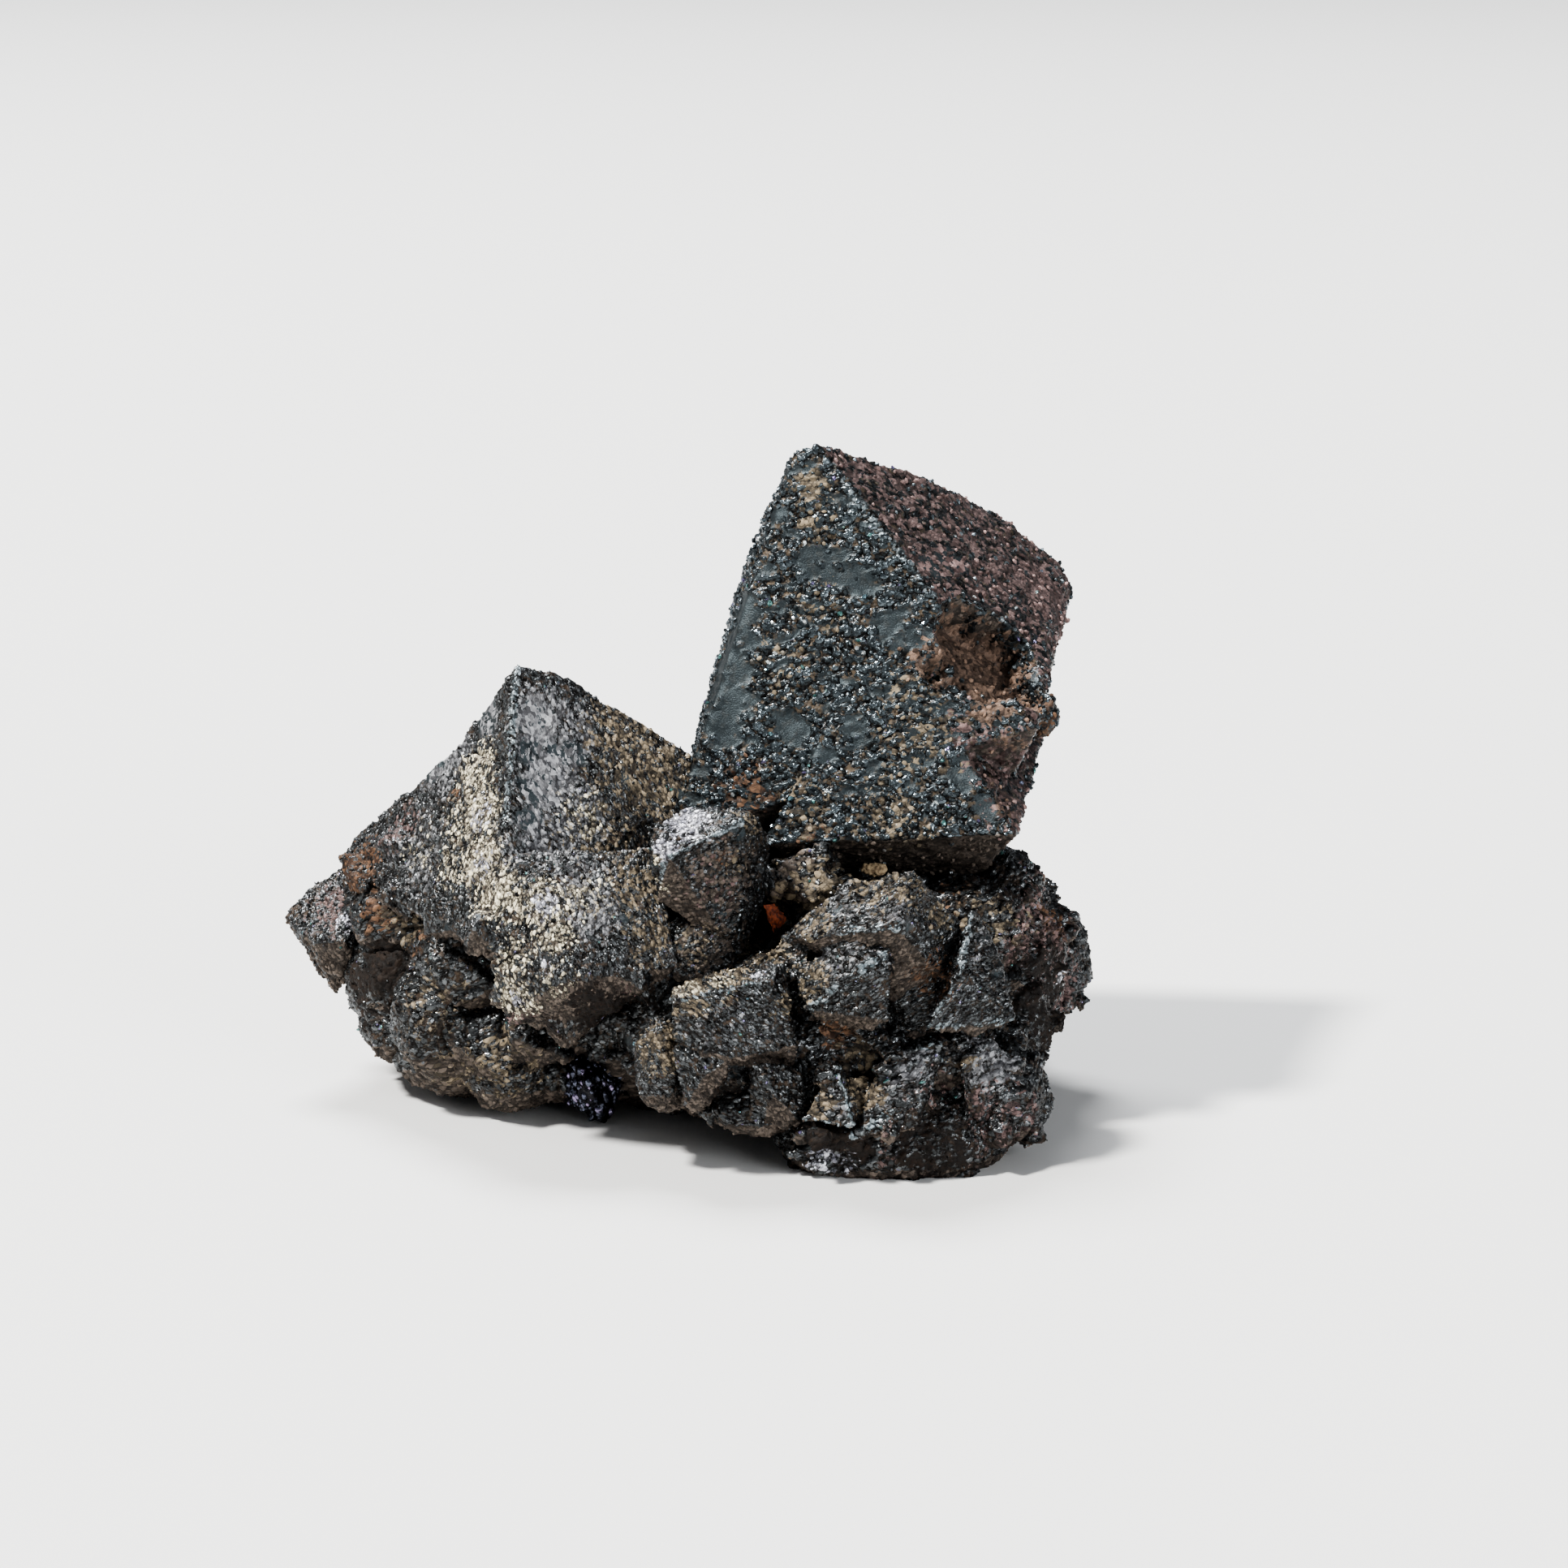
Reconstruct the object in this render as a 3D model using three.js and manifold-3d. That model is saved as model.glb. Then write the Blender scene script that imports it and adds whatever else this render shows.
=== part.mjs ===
// A martite specimen: dull metallic octahedra of hematite after magnetite, grown together on a
// crumbly iron-oxide matrix, with an orange chip and a clay nodule lodged in the cleft.
// Millimetres, +Z up. The origin is the middle of the footprint, on the surface it stands on.
import * as THREE from "three";
import { ConvexGeometry } from "three/addons/geometries/ConvexGeometry.js";
import { mergeVertices } from "three/addons/utils/BufferGeometryUtils.js";
import Module from "manifold-3d";

const wasm = await Module();
wasm.setup();

// Driving dimensions
const groundHeight = 0;
const lodgedGap = 0.35; // clearance round a loose piece in its seat
const cornerShift = 1.8; // how far a corner moves to open a gap of one at the faces beside it
const noduleSwell = 1.1; // share by which the nodule's seat is wider before the gap is added
const slabDepth = 40; // how far the trimming slab reaches below the ground
const slabWidth = 160;
const lumpJitter = 0.09; // share of the radius by which a lump's corners wander

// Corners of the two tall crystals. The upper growth carries the apex, the lower one the front edge.
const largeUpper = {
  top: [9.0, 2.5, 45.0],
  topLeft: [7.3, 2.8, 44.3],
  leftShoulder: [4.2, 3.2, 37.0],
  left: [-1.0, -5.8, 19.8],
  front: [23.5, -7.7, 27.7],
  topShoulder: [16.1, 7.8, 41.9],
  rightShoulder: [21.2, 12.6, 38.6],
  rightTop: [25.9, 13.6, 35.0],
  right: [27.0, 14.0, 33.2],
  back: [3.1, 18.0, 29.7],
  bottom: [17.0, 10.0, 8.0],
};
const largeLower = {
  top: [13.1, -2.6, 34.0],
  left: [5.6, -8.2, 19.8],
  front: [22.0, -10.4, 21.0],
  right: [24.6, 5.0, 24.3],
  back: [6.0, 15.0, 19.0],
  bottom: [16.5, 9.0, 8.0],
};

// The hollow etched into the right-hand face of the large crystal
const hollow = {
  outerTopLeft: [19.7, -3.6, 36.4],
  outerTopRight: [23.5, 1.8, 35.1],
  outerRight: [25.8, -5.0, 30.2],
  outerLow: [25.6, -11.1, 27.9],
  outerLeft: [16.7, -16.8, 33.7],
  floorTopLeft: [16.6, -2.6, 32.4],
  floorTopRight: [19.8, 2.0, 31.2],
  floorRight: [22.4, -3.6, 26.6],
  floorLow: [21.9, -9.0, 24.4],
  floorLeft: [14.2, -9.5, 29.6],
};

// The left-hand crystal: a slim upper growth, a broader layer on its left and a swollen front foot
const leftUpper = {
  top: [-11.2, -4.5, 31.2],
  topRight: [-8.3, -3.5, 30.3],
  left: [-17.8, 0.5, 21.3],
  front: [-12.1, -13.0, 15.0],
  right: [6.6, -3.0, 20.5],
  back: [-5.0, 13.0, 20.0],
  bottom: [-5.5, 4.0, 3.0],
};
const leftLayer = {
  top: [-15.5, -2.7, 25.1],
  frontTop: [-11.5, -7.4, 24.7],
  left: [-23.6, 3.4, 16.7],
  leftLow: [-24.2, 3.0, 15.8],
  ledge: [-18.7, -5.0, 15.2],
  ledgeLow: [-16.5, -8.5, 14.3],
  front: [-11.8, -14.2, 13.8],
  right: [-5.0, 3.0, 15.0],
  back: [-9.0, 12.0, 14.0],
  bottom: [-8.0, 3.0, 4.0],
};
const leftLower = {
  topLeft: [-11.4, -10.8, 19.9],
  topRight: [-2.2, -11.0, 20.3],
  right: [-0.2, -14.0, 13.2],
  rightLow: [-4.3, -13.4, 9.8],
  front: [-7.9, -15.8, 12.4],
  left: [-12.6, -13.5, 12.6],
  leftLow: [-11.5, -12.4, 8.6],
  back: [-6.0, 6.0, 5.0],
};

// The small crystal with the bright top face, between the two large ones
const centre = {
  topLeft: [-1.7, -12.7, 22.3],
  left: [-2.2, -13.6, 21.1],
  top: [0.5, -10.8, 23.1],
  topRight: [4.4, -9.8, 22.4],
  right: [5.7, -9.6, 20.8],
  frontTop: [-0.8, -15.2, 20.8],
  frontRight: [4.0, -13.2, 22.7],
  bottom: [3.7, -12.6, 13.4],
  leftLow: [-1.7, -13.2, 17.5],
  rightLow: [5.3, -10.0, 15.7],
  back: [1.6, -3.0, 16.4],
};

// The front cluster
const frontMain = {
  top: [14.4, -18.8, 20.7],
  shoulder: [10.8, -17.7, 19.7],
  leftShoulder: [8.6, -16.7, 18.2],
  left: [5.4, -15.4, 15.1],
  rightLow: [18.1, -15.0, 16.8],
  front: [13.6, -20.0, 15.4],
  low: [15.3, -17.0, 9.3],
  lowLeft: [8.4, -17.0, 11.2],
  back: [17.2, -8.0, 15.3],
};
const frontLow = {
  top: [11.6, -18.4, 17.8],
  leftTop: [8.5, -17.8, 15.8],
  left: [7.7, -19.1, 13.8],
  lowLeft: [8.8, -19.7, 11.3],
  lowRight: [13.3, -20.0, 10.8],
  right: [13.7, -20.0, 15.4],
  back: [15.9, -14.0, 10.3],
  bottom: [11.7, -15.0, 7.3],
};
const frontRight = {
  top: [18.6, -16.8, 17.6],
  left: [17.9, -18.6, 14.4],
  lowLeft: [16.3, -18.8, 10.3],
  lowFront: [19.6, -19.2, 11.3],
  lowRight: [22.0, -17.4, 10.5],
  right: [20.9, -16.2, 14.1],
  rightTop: [19.8, -16.2, 16.2],
  back: [19.3, -10.0, 12.5],
  bottom: [19.2, -14.0, 7.0],
};
const leftFront = {
  leftTop: [-0.7, -18.4, 12.5],
  top: [-0.1, -17.8, 13.1],
  topRight: [5.1, -17.2, 14.3],
  right: [7.4, -18.2, 12.6],
  rightLow: [7.7, -18.4, 5.4],
  front: [3.3, -20.0, 8.9],
  left: [-0.5, -18.1, 5.3],
  bottom: [3.2, -17.6, 2.9],
  back: [3.1, -10.0, 9.1],
};
const wedge = {
  top: [10.2, -19.0, 7.5],
  left: [7.9, -19.7, 3.8],
  right: [11.1, -20.0, 3.5],
  topRight: [11.8, -18.2, 5.8],
  back: [11.1, -15.0, 2.8],
};
const crest = {
  top: [16.5, -17.3, 9.1],
  left: [13.2, -17.8, 7.4],
  right: [17.2, -19.0, 7.9],
  lowRight: [18.4, -19.6, 4.6],
  low: [15.8, -20.0, 3.8],
  lowLeft: [12.5, -19.8, 4.2],
  back: [16.6, -11.0, 6.0],
  bottom: [16.5, -14.0, 1.4],
};

// The point of the right flank
const rightTip = {
  top: [26.0, 4.0, 11.6],
  upperRight: [28.0, 4.2, 10.2],
  lowerRight: [28.0, 3.8, 7.2],
  low: [27.2, 3.0, 5.4],
  bottom: [25.4, 1.0, 5.0],
  front: [26.1, 0.0, 9.5],
  frontTop: [25.0, -0.6, 11.5],
  back: [22.0, 8.0, 8.6],
};

// The crystal at the far left, and the glossy dark one under the left-hand crystal
const farLeft = {
  top: [-24.0, 4.5, 15.0],
  topLeft: [-26.6, 4.0, 13.5],
  left: [-28.0, 3.3, 11.7],
  topRight: [-21.5, 3.0, 13.5],
  frontRight: [-23.5, -0.5, 11.0],
  front: [-25.8, 0.5, 10.6],
  bottom: [-24.6, 2.5, 6.2],
  low: [-22.9, 1.5, 8.9],
  back: [-23.1, 10.0, 11.0],
};
const dark = {
  topLeft: [-7.6, -7.4, 4.9],
  topRight: [-4.8, -7.4, 4.6],
  right: [-4.1, -7.4, 3.0],
  bottom: [-5.5, -7.4, 0.1],
  lowLeft: [-8.0, -6.8, 1.2],
  left: [-8.4, -6.4, 2.0],
  front: [-6.4, -9.4, 3.6],
  back: [-6.2, -3.0, 1.8],
};

const cornerCrystals = [
  largeLower, leftUpper, leftLayer, leftLower, centre, frontMain, frontLow, frontRight,
  leftFront, wedge, crest, rightTip, farLeft, dark,
];

// Small whole octahedra: middle, half-diagonals along their own three axes, and turn in degrees
const smallCrystals = [
  // on the right flank
  { at: [24.4, -0.8, 12.2], reach: [3.0, 3.2, 2.8], turn: [-25, 20, 40] },
  { at: [24.4, 0.0, 7.2], reach: [2.6, 2.6, 2.4], turn: [50, -10, 30] },
  { at: [22.6, 6.5, 10.5], reach: [4.6, 4.6, 4.2], turn: [10, -35, 60] },
  // lower left
  { at: [-20.6, -0.4, 10.4], reach: [3.6, 3.4, 3.6], turn: [15, 20, 10] },
  { at: [-13.6, -6.4, 5.6], reach: [3.4, 3.6, 3.4], turn: [30, 15, 40] },
  { at: [-21.0, 2.2, 4.8], reach: [2.6, 2.8, 2.4], turn: [10, 35, 20] },
  // round the back
  { at: [16.0, 13.4, 8.6], reach: [6.4, 6.4, 6.6], turn: [15, 25, 10] },
  { at: [6.0, 14.6, 12.4], reach: [5.6, 5.2, 5.6], turn: [-20, 10, 50] },
  { at: [-4.5, 14.6, 9.6], reach: [5.6, 5.4, 5.2], turn: [35, -15, 20] },
  { at: [-14.0, 12.6, 9.4], reach: [6.0, 6.2, 5.6], turn: [-10, 40, 75] },
  { at: [-20.6, 8.4, 7.6], reach: [3.8, 4.2, 3.8], turn: [25, 5, 35] },
  { at: [1.0, 16.0, 4.2], reach: [4.0, 3.9, 3.6], turn: [40, 30, 0] },
  { at: [10.6, 16.6, 4.0], reach: [3.8, 3.9, 3.6], turn: [5, 50, 25] },
];

// Rounded lumps of matrix: middle and radii
const lumps = [
  // core, under and behind the crystals
  { at: [13.5, -4.5, 8.0], radius: [9.5, 10.0, 8.6] },
  { at: [13.5, 6.0, 7.4], radius: [10.5, 10.0, 8.4] },
  { at: [0.0, 2.0, 7.0], radius: [11.5, 12.0, 8.2] },
  { at: [-11.0, 4.0, 6.8], radius: [9.6, 9.0, 6.6] },
  { at: [1.5, -8.0, 8.2], radius: [6.5, 6.5, 5.8] },
  { at: [12.3, -8.0, 13.8], radius: [4.6, 3.8, 3.3] },
  // foot at the lower right
  { at: [13.9, -14.5, 1.9], radius: [8.1, 5.4, 4.2] },
  { at: [20.2, -14.4, 4.4], radius: [4.2, 4.6, 3.8] },
  { at: [20.2, -15.2, 6.6], radius: [2.7, 2.8, 2.2] },
  { at: [9.6, -16.4, 1.4], radius: [3.4, 3.2, 2.4] },
  { at: [4.6, -16.4, 4.2], radius: [3.2, 3.0, 1.9] },
  { at: [-1.3, -16.2, 7.0], radius: [1.8, 2.2, 3.2] },
  // right flank
  { at: [21.4, -2.0, 10.0], radius: [4.4, 6.0, 6.4] },
  { at: [22.0, -5.0, 7.2], radius: [3.0, 4.6, 4.4] },
  { at: [21.8, -3.2, 15.4], radius: [2.4, 3.0, 2.8] },
  { at: [24.2, -4.0, 27.7], radius: [0.9, 1.1, 1.1] },
  // lower left
  { at: [-16.8, -2.3, 6.3], radius: [2.9, 2.9, 3.9] },
  { at: [-19.0, 2.0, 8.6], radius: [4.2, 5.6, 4.4] },
  { at: [-21.4, 4.2, 12.0], radius: [3.2, 3.8, 3.6] },
  { at: [-15.6, -1.0, 3.4], radius: [4.6, 4.2, 2.9] },
  { at: [-19.4, 1.0, 5.0], radius: [3.4, 4.2, 2.8] },
  { at: [-11.7, -4.3, 3.2], radius: [3.4, 4.0, 3.0] },
  { at: [-8.9, -4.6, 3.0], radius: [2.0, 2.6, 2.2] },
  // back foot
  { at: [6.0, 11.0, 3.4], radius: [11.0, 6.6, 3.9] },
  { at: [-9.0, 9.5, 3.4], radius: [7.0, 6.0, 3.9] },
];

const orangeChip = {
  top: [6.0, -10.4, 16.4],
  left: [5.2, -10.9, 16.4],
  low: [5.9, -11.2, 14.5],
  right: [6.8, -10.6, 15.3],
  back: [6.0, -9.6, 15.5],
  front: [6.0, -11.5, 15.5],
};
const clayNodule = { at: [12.6, -6.7, 17.75], radius: [0.9, 0.55, 0.45] };

// A repeatable number between 0 and 1 from a seed
function wander(seed) {
  const value = Math.sin(seed * 127.1 + 311.7) * 43758.5453;
  return value - Math.floor(value);
}

function solidFrom(geometry) {
  geometry.deleteAttribute("normal");
  geometry.deleteAttribute("uv");
  const merged = mergeVertices(geometry, 1e-4);
  return new wasm.Manifold(
    new wasm.Mesh({
      numProp: 3,
      vertProperties: new Float32Array(merged.attributes.position.array),
      triVerts: new Uint32Array(merged.index.array),
    }),
  );
}

function crystalFrom(corners) {
  const points = Object.values(corners).map((corner) => new THREE.Vector3(...corner));
  return solidFrom(new ConvexGeometry(points));
}

function octahedron({ at, reach, turn }) {
  const geometry = new THREE.OctahedronGeometry(1);
  const turned = new THREE.Euler(...turn.map(THREE.MathUtils.degToRad));
  geometry.scale(...reach);
  geometry.applyQuaternion(new THREE.Quaternion().setFromEuler(turned));
  geometry.translate(...at);
  return solidFrom(geometry);
}

function lumpSolid({ at, radius }, number) {
  const detail = Math.max(...radius) > 4 ? 3 : 1;
  const geometry = new THREE.IcosahedronGeometry(1, detail);
  geometry.deleteAttribute("normal");
  geometry.deleteAttribute("uv");
  const round = mergeVertices(geometry, 1e-4);
  const place = round.attributes.position;
  for (let i = 0; i < place.count; i += 1) {
    const swell = 1 + lumpJitter * (2 * wander(number * 101 + i) - 1);
    place.setXYZ(i, place.getX(i) * swell, place.getY(i) * swell, place.getZ(i) * swell);
  }
  round.scale(...radius);
  round.translate(...at);
  return solidFrom(round);
}

function joined(solids) {
  return solids.reduce((whole, solid) => whole.add(solid));
}

// The outer shell alone: pockets closed in between grown-together crystals are filled
function filled(solid) {
  const shells = solid.decompose();
  return shells.reduce((largest, shell) => (shell.volume() > largest.volume() ? shell : largest));
}

// The same corners, each moved outwards from their middle by a shift
function swollen(corners, shift) {
  const points = Object.values(corners).map((corner) => new THREE.Vector3(...corner));
  const middle = new THREE.Vector3();
  points.forEach((point) => middle.addScaledVector(point, 1 / points.length));
  return points.map((point) => {
    const outwards = point.clone().sub(middle).normalize();
    return point.clone().addScaledVector(outwards, shift).toArray();
  });
}

function meshOf(name, solid, { color, roughness, metalness }) {
  const { numProp, vertProperties, triVerts } = solid.getMesh();
  const geometry = new THREE.BufferGeometry();
  geometry.setAttribute("position", new THREE.BufferAttribute(vertProperties, numProp));
  geometry.setIndex(new THREE.BufferAttribute(triVerts, 1));
  geometry.computeVertexNormals();
  const mesh = new THREE.Mesh(
    geometry,
    new THREE.MeshStandardMaterial({ color, roughness, metalness }),
  );
  mesh.name = name;
  return mesh;
}

const largeTop = crystalFrom(largeUpper).subtract(crystalFrom(hollow));
const crystals = [...cornerCrystals.map(crystalFrom), ...smallCrystals.map(octahedron)];
const slab = new THREE.BoxGeometry(slabWidth, slabWidth, slabDepth);
slab.translate(0, 0, groundHeight - slabDepth / 2);

const chip = crystalFrom(orangeChip);
const nodule = lumpSolid(clayNodule, lumps.length);
const seatRadius = clayNodule.radius.map((radius) => radius * noduleSwell + lodgedGap);
const noduleSeat = lumpSolid({ at: clayNodule.at, radius: seatRadius }, lumps.length);
const cluster = filled(joined([largeTop, ...crystals, ...lumps.map(lumpSolid)]))
  .subtract(solidFrom(slab))
  .subtract(crystalFrom(swollen(orangeChip, lodgedGap * cornerShift)))
  .subtract(noduleSeat);

const ironOxide = { color: 0x2c3136, roughness: 0.5, metalness: 0.6 };
const orangeOxide = { color: 0xb0441c, roughness: 0.85, metalness: 0 };
const clay = { color: 0xa88a62, roughness: 0.9, metalness: 0 };

const group = new THREE.Group();
group.add(meshOf("crystal_cluster", cluster, ironOxide));
group.add(meshOf("orange_chip", chip, orangeOxide));
group.add(meshOf("clay_nodule", nodule, clay));

export default group;
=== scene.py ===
import bpy
import math
import numpy as np
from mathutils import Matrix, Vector


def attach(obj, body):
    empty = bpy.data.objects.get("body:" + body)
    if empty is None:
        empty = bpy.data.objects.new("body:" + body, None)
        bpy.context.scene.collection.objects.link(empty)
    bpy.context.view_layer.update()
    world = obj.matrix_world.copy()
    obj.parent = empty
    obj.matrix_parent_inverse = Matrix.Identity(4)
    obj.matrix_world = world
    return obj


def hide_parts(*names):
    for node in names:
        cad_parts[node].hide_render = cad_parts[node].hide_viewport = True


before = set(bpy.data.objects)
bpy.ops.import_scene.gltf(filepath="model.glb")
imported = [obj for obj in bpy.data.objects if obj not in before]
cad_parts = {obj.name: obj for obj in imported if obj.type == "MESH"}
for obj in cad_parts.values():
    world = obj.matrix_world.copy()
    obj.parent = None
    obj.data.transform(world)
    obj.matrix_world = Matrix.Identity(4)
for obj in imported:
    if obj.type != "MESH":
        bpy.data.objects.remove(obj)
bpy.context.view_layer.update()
mm = 0.001
print("frame loaded:", sorted(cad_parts))

fineness = 1.0
pieceLimit = 196000  # triangles a piece may have


# camera, lights and floor; places in millimetres, sizes too

cameraPlace = {
    "eye": (6.65, -288.8, 91.3),
    "tilt": 76.5,
    "lens": 100,
    "sensor": 36,
}

studio = {
    "key": {"at": (-1050, -420, 1650), "size": 260, "power": 95, "colour": (1.0, 0.98, 0.95)},
    "fill": {"at": (1150, -1350, 600), "size": 900, "power": 24, "colour": (0.95, 0.97, 1.0)},
    "back": {"at": (-250, 950, 1700), "size": 700, "power": 60, "colour": (0.97, 0.98, 1.0)},
}
aimPoint = Vector((2, -4, 18)) * mm
studioAir = {"colour": (0.82, 0.86, 0.92, 1), "strength": 0.3}
paleFloor = {"width": 8, "colour": (0.62, 0.62, 0.61, 1), "roughness": 0.75}


def addCamera(place):
    data = bpy.data.cameras.new("camera")
    data.lens = place["lens"]
    data.sensor_width = place["sensor"]
    camera = bpy.data.objects.new("camera", data)
    camera.location = Vector(place["eye"]) * mm
    camera.rotation_euler = (math.radians(place["tilt"]), 0, 0)
    bpy.context.scene.collection.objects.link(camera)
    bpy.context.scene.camera = camera


def addLight(name, light):
    data = bpy.data.lights.new(name, "AREA")
    data.shape = "DISK"
    data.size = light["size"] * mm
    data.energy = light["power"]
    data.color = light["colour"]
    lamp = bpy.data.objects.new(name, data)
    lamp.location = Vector(light["at"]) * mm
    lamp.rotation_euler = (aimPoint - lamp.location).to_track_quat("-Z", "Y").to_euler()
    bpy.context.scene.collection.objects.link(lamp)


def addWorld(air):
    world = bpy.data.worlds.new("studio")
    bpy.context.scene.world = world
    world.use_nodes = True
    background = world.node_tree.nodes["Background"]
    background.inputs["Color"].default_value = air["colour"]
    background.inputs["Strength"].default_value = air["strength"]
    bpy.context.scene.view_settings.look = "AgX - Medium High Contrast"


def newMaterial(name):
    material = bpy.data.materials.new(name)
    material.use_nodes = True
    tree = material.node_tree
    return material, tree, tree.nodes["Principled BSDF"]


def addFloor(made):
    bpy.ops.mesh.primitive_plane_add(size=made["width"], location=(0, 0, 0))
    floor = bpy.context.object
    floor.name = "floor"
    material, _, shader = newMaterial("paleFloor")
    shader.inputs["Base Color"].default_value = made["colour"]
    shader.inputs["Roughness"].default_value = made["roughness"]
    floor.data.materials.append(material)


addCamera(cameraPlace)
for lightName, light in studio.items():
    addLight(lightName, light)
addWorld(studioAir)
addFloor(paleFloor)
print("stage set")


# small helpers for picking, shaping and node work


def pick(*pieces):
    bpy.ops.object.select_all(action="DESELECT")
    for piece in pieces:
        piece.select_set(True)
    bpy.context.view_layer.objects.active = pieces[0]


def applied(piece, kind, **settings):
    pick(piece)
    modifier = piece.modifiers.new(kind.lower(), kind)
    for name, value in settings.items():
        setattr(modifier, name, value)
    bpy.ops.object.modifier_apply(modifier=modifier.name)


def enterEdit(piece):
    pick(piece)
    bpy.ops.object.mode_set(mode="EDIT")
    bpy.ops.mesh.select_all(action="SELECT")


def leaveEdit():
    bpy.ops.object.mode_set(mode="OBJECT")


def evenOut(piece, voxel, rounds):
    applied(piece, "REMESH", mode="VOXEL", voxel_size=voxel * mm * fineness)
    applied(piece, "SMOOTH", factor=0.5, iterations=rounds)


def wire(tree, value, socket):
    if isinstance(value, bpy.types.NodeSocket):
        tree.links.new(value, socket)
    else:
        socket.default_value = value


def put(tree, kind, inputs, **settings):
    node = tree.nodes.new(kind)
    for name, value in settings.items():
        setattr(node, name, value)
    for key, value in inputs.items():
        wire(tree, value, node.inputs[key])
    return node


def calc(tree, operation, *values, clamp=False):
    inputs = dict(enumerate(values))
    return put(tree, "ShaderNodeMath", inputs, operation=operation, use_clamp=clamp).outputs[0]


def times(tree, first, second):
    return calc(tree, "MULTIPLY", first, second)


def timesPlus(tree, value, factor, start, clamp=False):
    return calc(tree, "MULTIPLY_ADD", value, factor, start, clamp=clamp)


def lessHalf(tree, value):
    return calc(tree, "SUBTRACT", value, 0.5)


def vectorCalc(tree, operation, first, second):
    inputs = {0: first, (3 if operation == "SCALE" else 1): second}
    return put(tree, "ShaderNodeVectorMath", inputs, operation=operation).outputs[0]


def turned(tree, place, turn):
    inputs = {"Vector": place, "Rotation": turn}
    return put(tree, "ShaderNodeVectorRotate", inputs, rotation_type="EULER_XYZ").outputs[0]


def axes(tree, vector):
    return put(tree, "ShaderNodeSeparateXYZ", {0: vector}).outputs


def ramp(tree, value, low, high, bottom=0.0, top=1.0, kind="SMOOTHSTEP"):
    inputs = {0: value, 1: low, 2: high, 3: bottom, 4: top}
    return put(tree, "ShaderNodeMapRange", inputs, interpolation_type=kind).outputs[0]


# slow and quick changes over the stone: waves to a millimetre, detail and roughness

waves = {
    "pit": (0.7, 3.0, 0.5),
    "drift": (0.22, 2.0, 0.5),
    "rows": (0.35, 3.0, 0.5),
    "ledges": (0.3, 1.0, 0.5),
    "plates": (0.42, 4.0, 0.6),
    "swell": (0.13, 3.0, 0.5),
    "slow": (0.35, 3.0, 0.5),
    "quick": (1.7, 4.0, 0.65),
    "crisp": (9.0, 2.0, 0.6),
    "earthy": (4.0, 3.0, 0.5),
    "glossy": (6.0, 2.0, 0.5),
}


def noise(tree, place, scale, detail=2.0, rough=0.5):
    inputs = {"Vector": place, "Scale": scale, "Detail": detail, "Roughness": rough}
    return put(tree, "ShaderNodeTexNoise", inputs)


def wave(tree, place, name):
    return noise(tree, place, *waves[name]).outputs[0]


# crystals: corner points in millimetres, the hull drawn over them, and the growths of one
# crystal run together


def growth(name, corners):
    mesh = bpy.data.meshes.new(name)
    mesh.from_pydata([Vector(corner) * mm for corner in corners.values()], [], [])
    piece = bpy.data.objects.new(name, mesh)
    bpy.context.scene.collection.objects.link(piece)
    enterEdit(piece)
    bpy.ops.mesh.convex_hull()
    bpy.ops.mesh.normals_make_consistent(inside=False)
    leaveEdit()
    return piece


def octahedron(name, at, reach, turn):
    bpy.ops.object.select_all(action="DESELECT")
    bpy.ops.mesh.primitive_cone_add(
        vertices=4, radius1=1, radius2=0, depth=1, end_fill_type="NOTHING"
    )
    piece = bpy.context.object
    piece.name = name
    enterEdit(piece)
    bpy.ops.transform.translate(value=(0, 0, 0.5))  # the rim comes to the middle
    bpy.ops.mesh.duplicate()
    bpy.ops.transform.resize(value=(1, 1, -1), center_override=(0, 0, 0))
    bpy.ops.mesh.select_all(action="SELECT")
    bpy.ops.mesh.remove_doubles(threshold=0.001)
    bpy.ops.mesh.normals_make_consistent(inside=False)
    leaveEdit()
    piece.scale = Vector(reach) * mm
    piece.rotation_euler = [math.radians(angle) for angle in turn]
    piece.location = Vector(at) * mm
    bpy.ops.object.transform_apply(location=True, rotation=True, scale=True)
    return piece


def lump(name, at, radius):
    bpy.ops.object.select_all(action="DESELECT")
    bpy.ops.mesh.primitive_ico_sphere_add(subdivisions=4, radius=1, location=Vector(at) * mm)
    piece = bpy.context.object
    piece.name = name
    piece.scale = Vector(radius) * mm
    bpy.ops.object.transform_apply(location=True, rotation=True, scale=True)
    return piece


def runTogether(name, parts, voxel, easing):
    whole = parts[0]
    if len(parts) > 1:
        pick(*parts)
        bpy.ops.object.join()
    whole.name = name
    evenOut(whole, voxel, easing)
    return whole


def trimFlat(piece, level=0.02):
    enterEdit(piece)
    bpy.ops.mesh.bisect(
        plane_co=(0, 0, level * mm), plane_no=(0, 0, 1), use_fill=True, clear_inner=True
    )
    leaveEdit()


# stains: soft weights kept on the mesh, which steer both the relief and the finish. A spot is
# x, y, z, reach and strength, a line is start, end, reach and strength, and what faces one way
# is the way, where the stain begins, where it is full, and its strength

fade = 1.6  # so a stain is full over the inner 3/8 of its reach


def faded(away, strength):
    return strength * np.clip(fade - fade * away, 0, 1)


def readVectors(source, label, count):
    values = np.zeros(count * 3, np.float32)
    source.foreach_get(label, values)
    return values.reshape(-1, 3)


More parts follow.
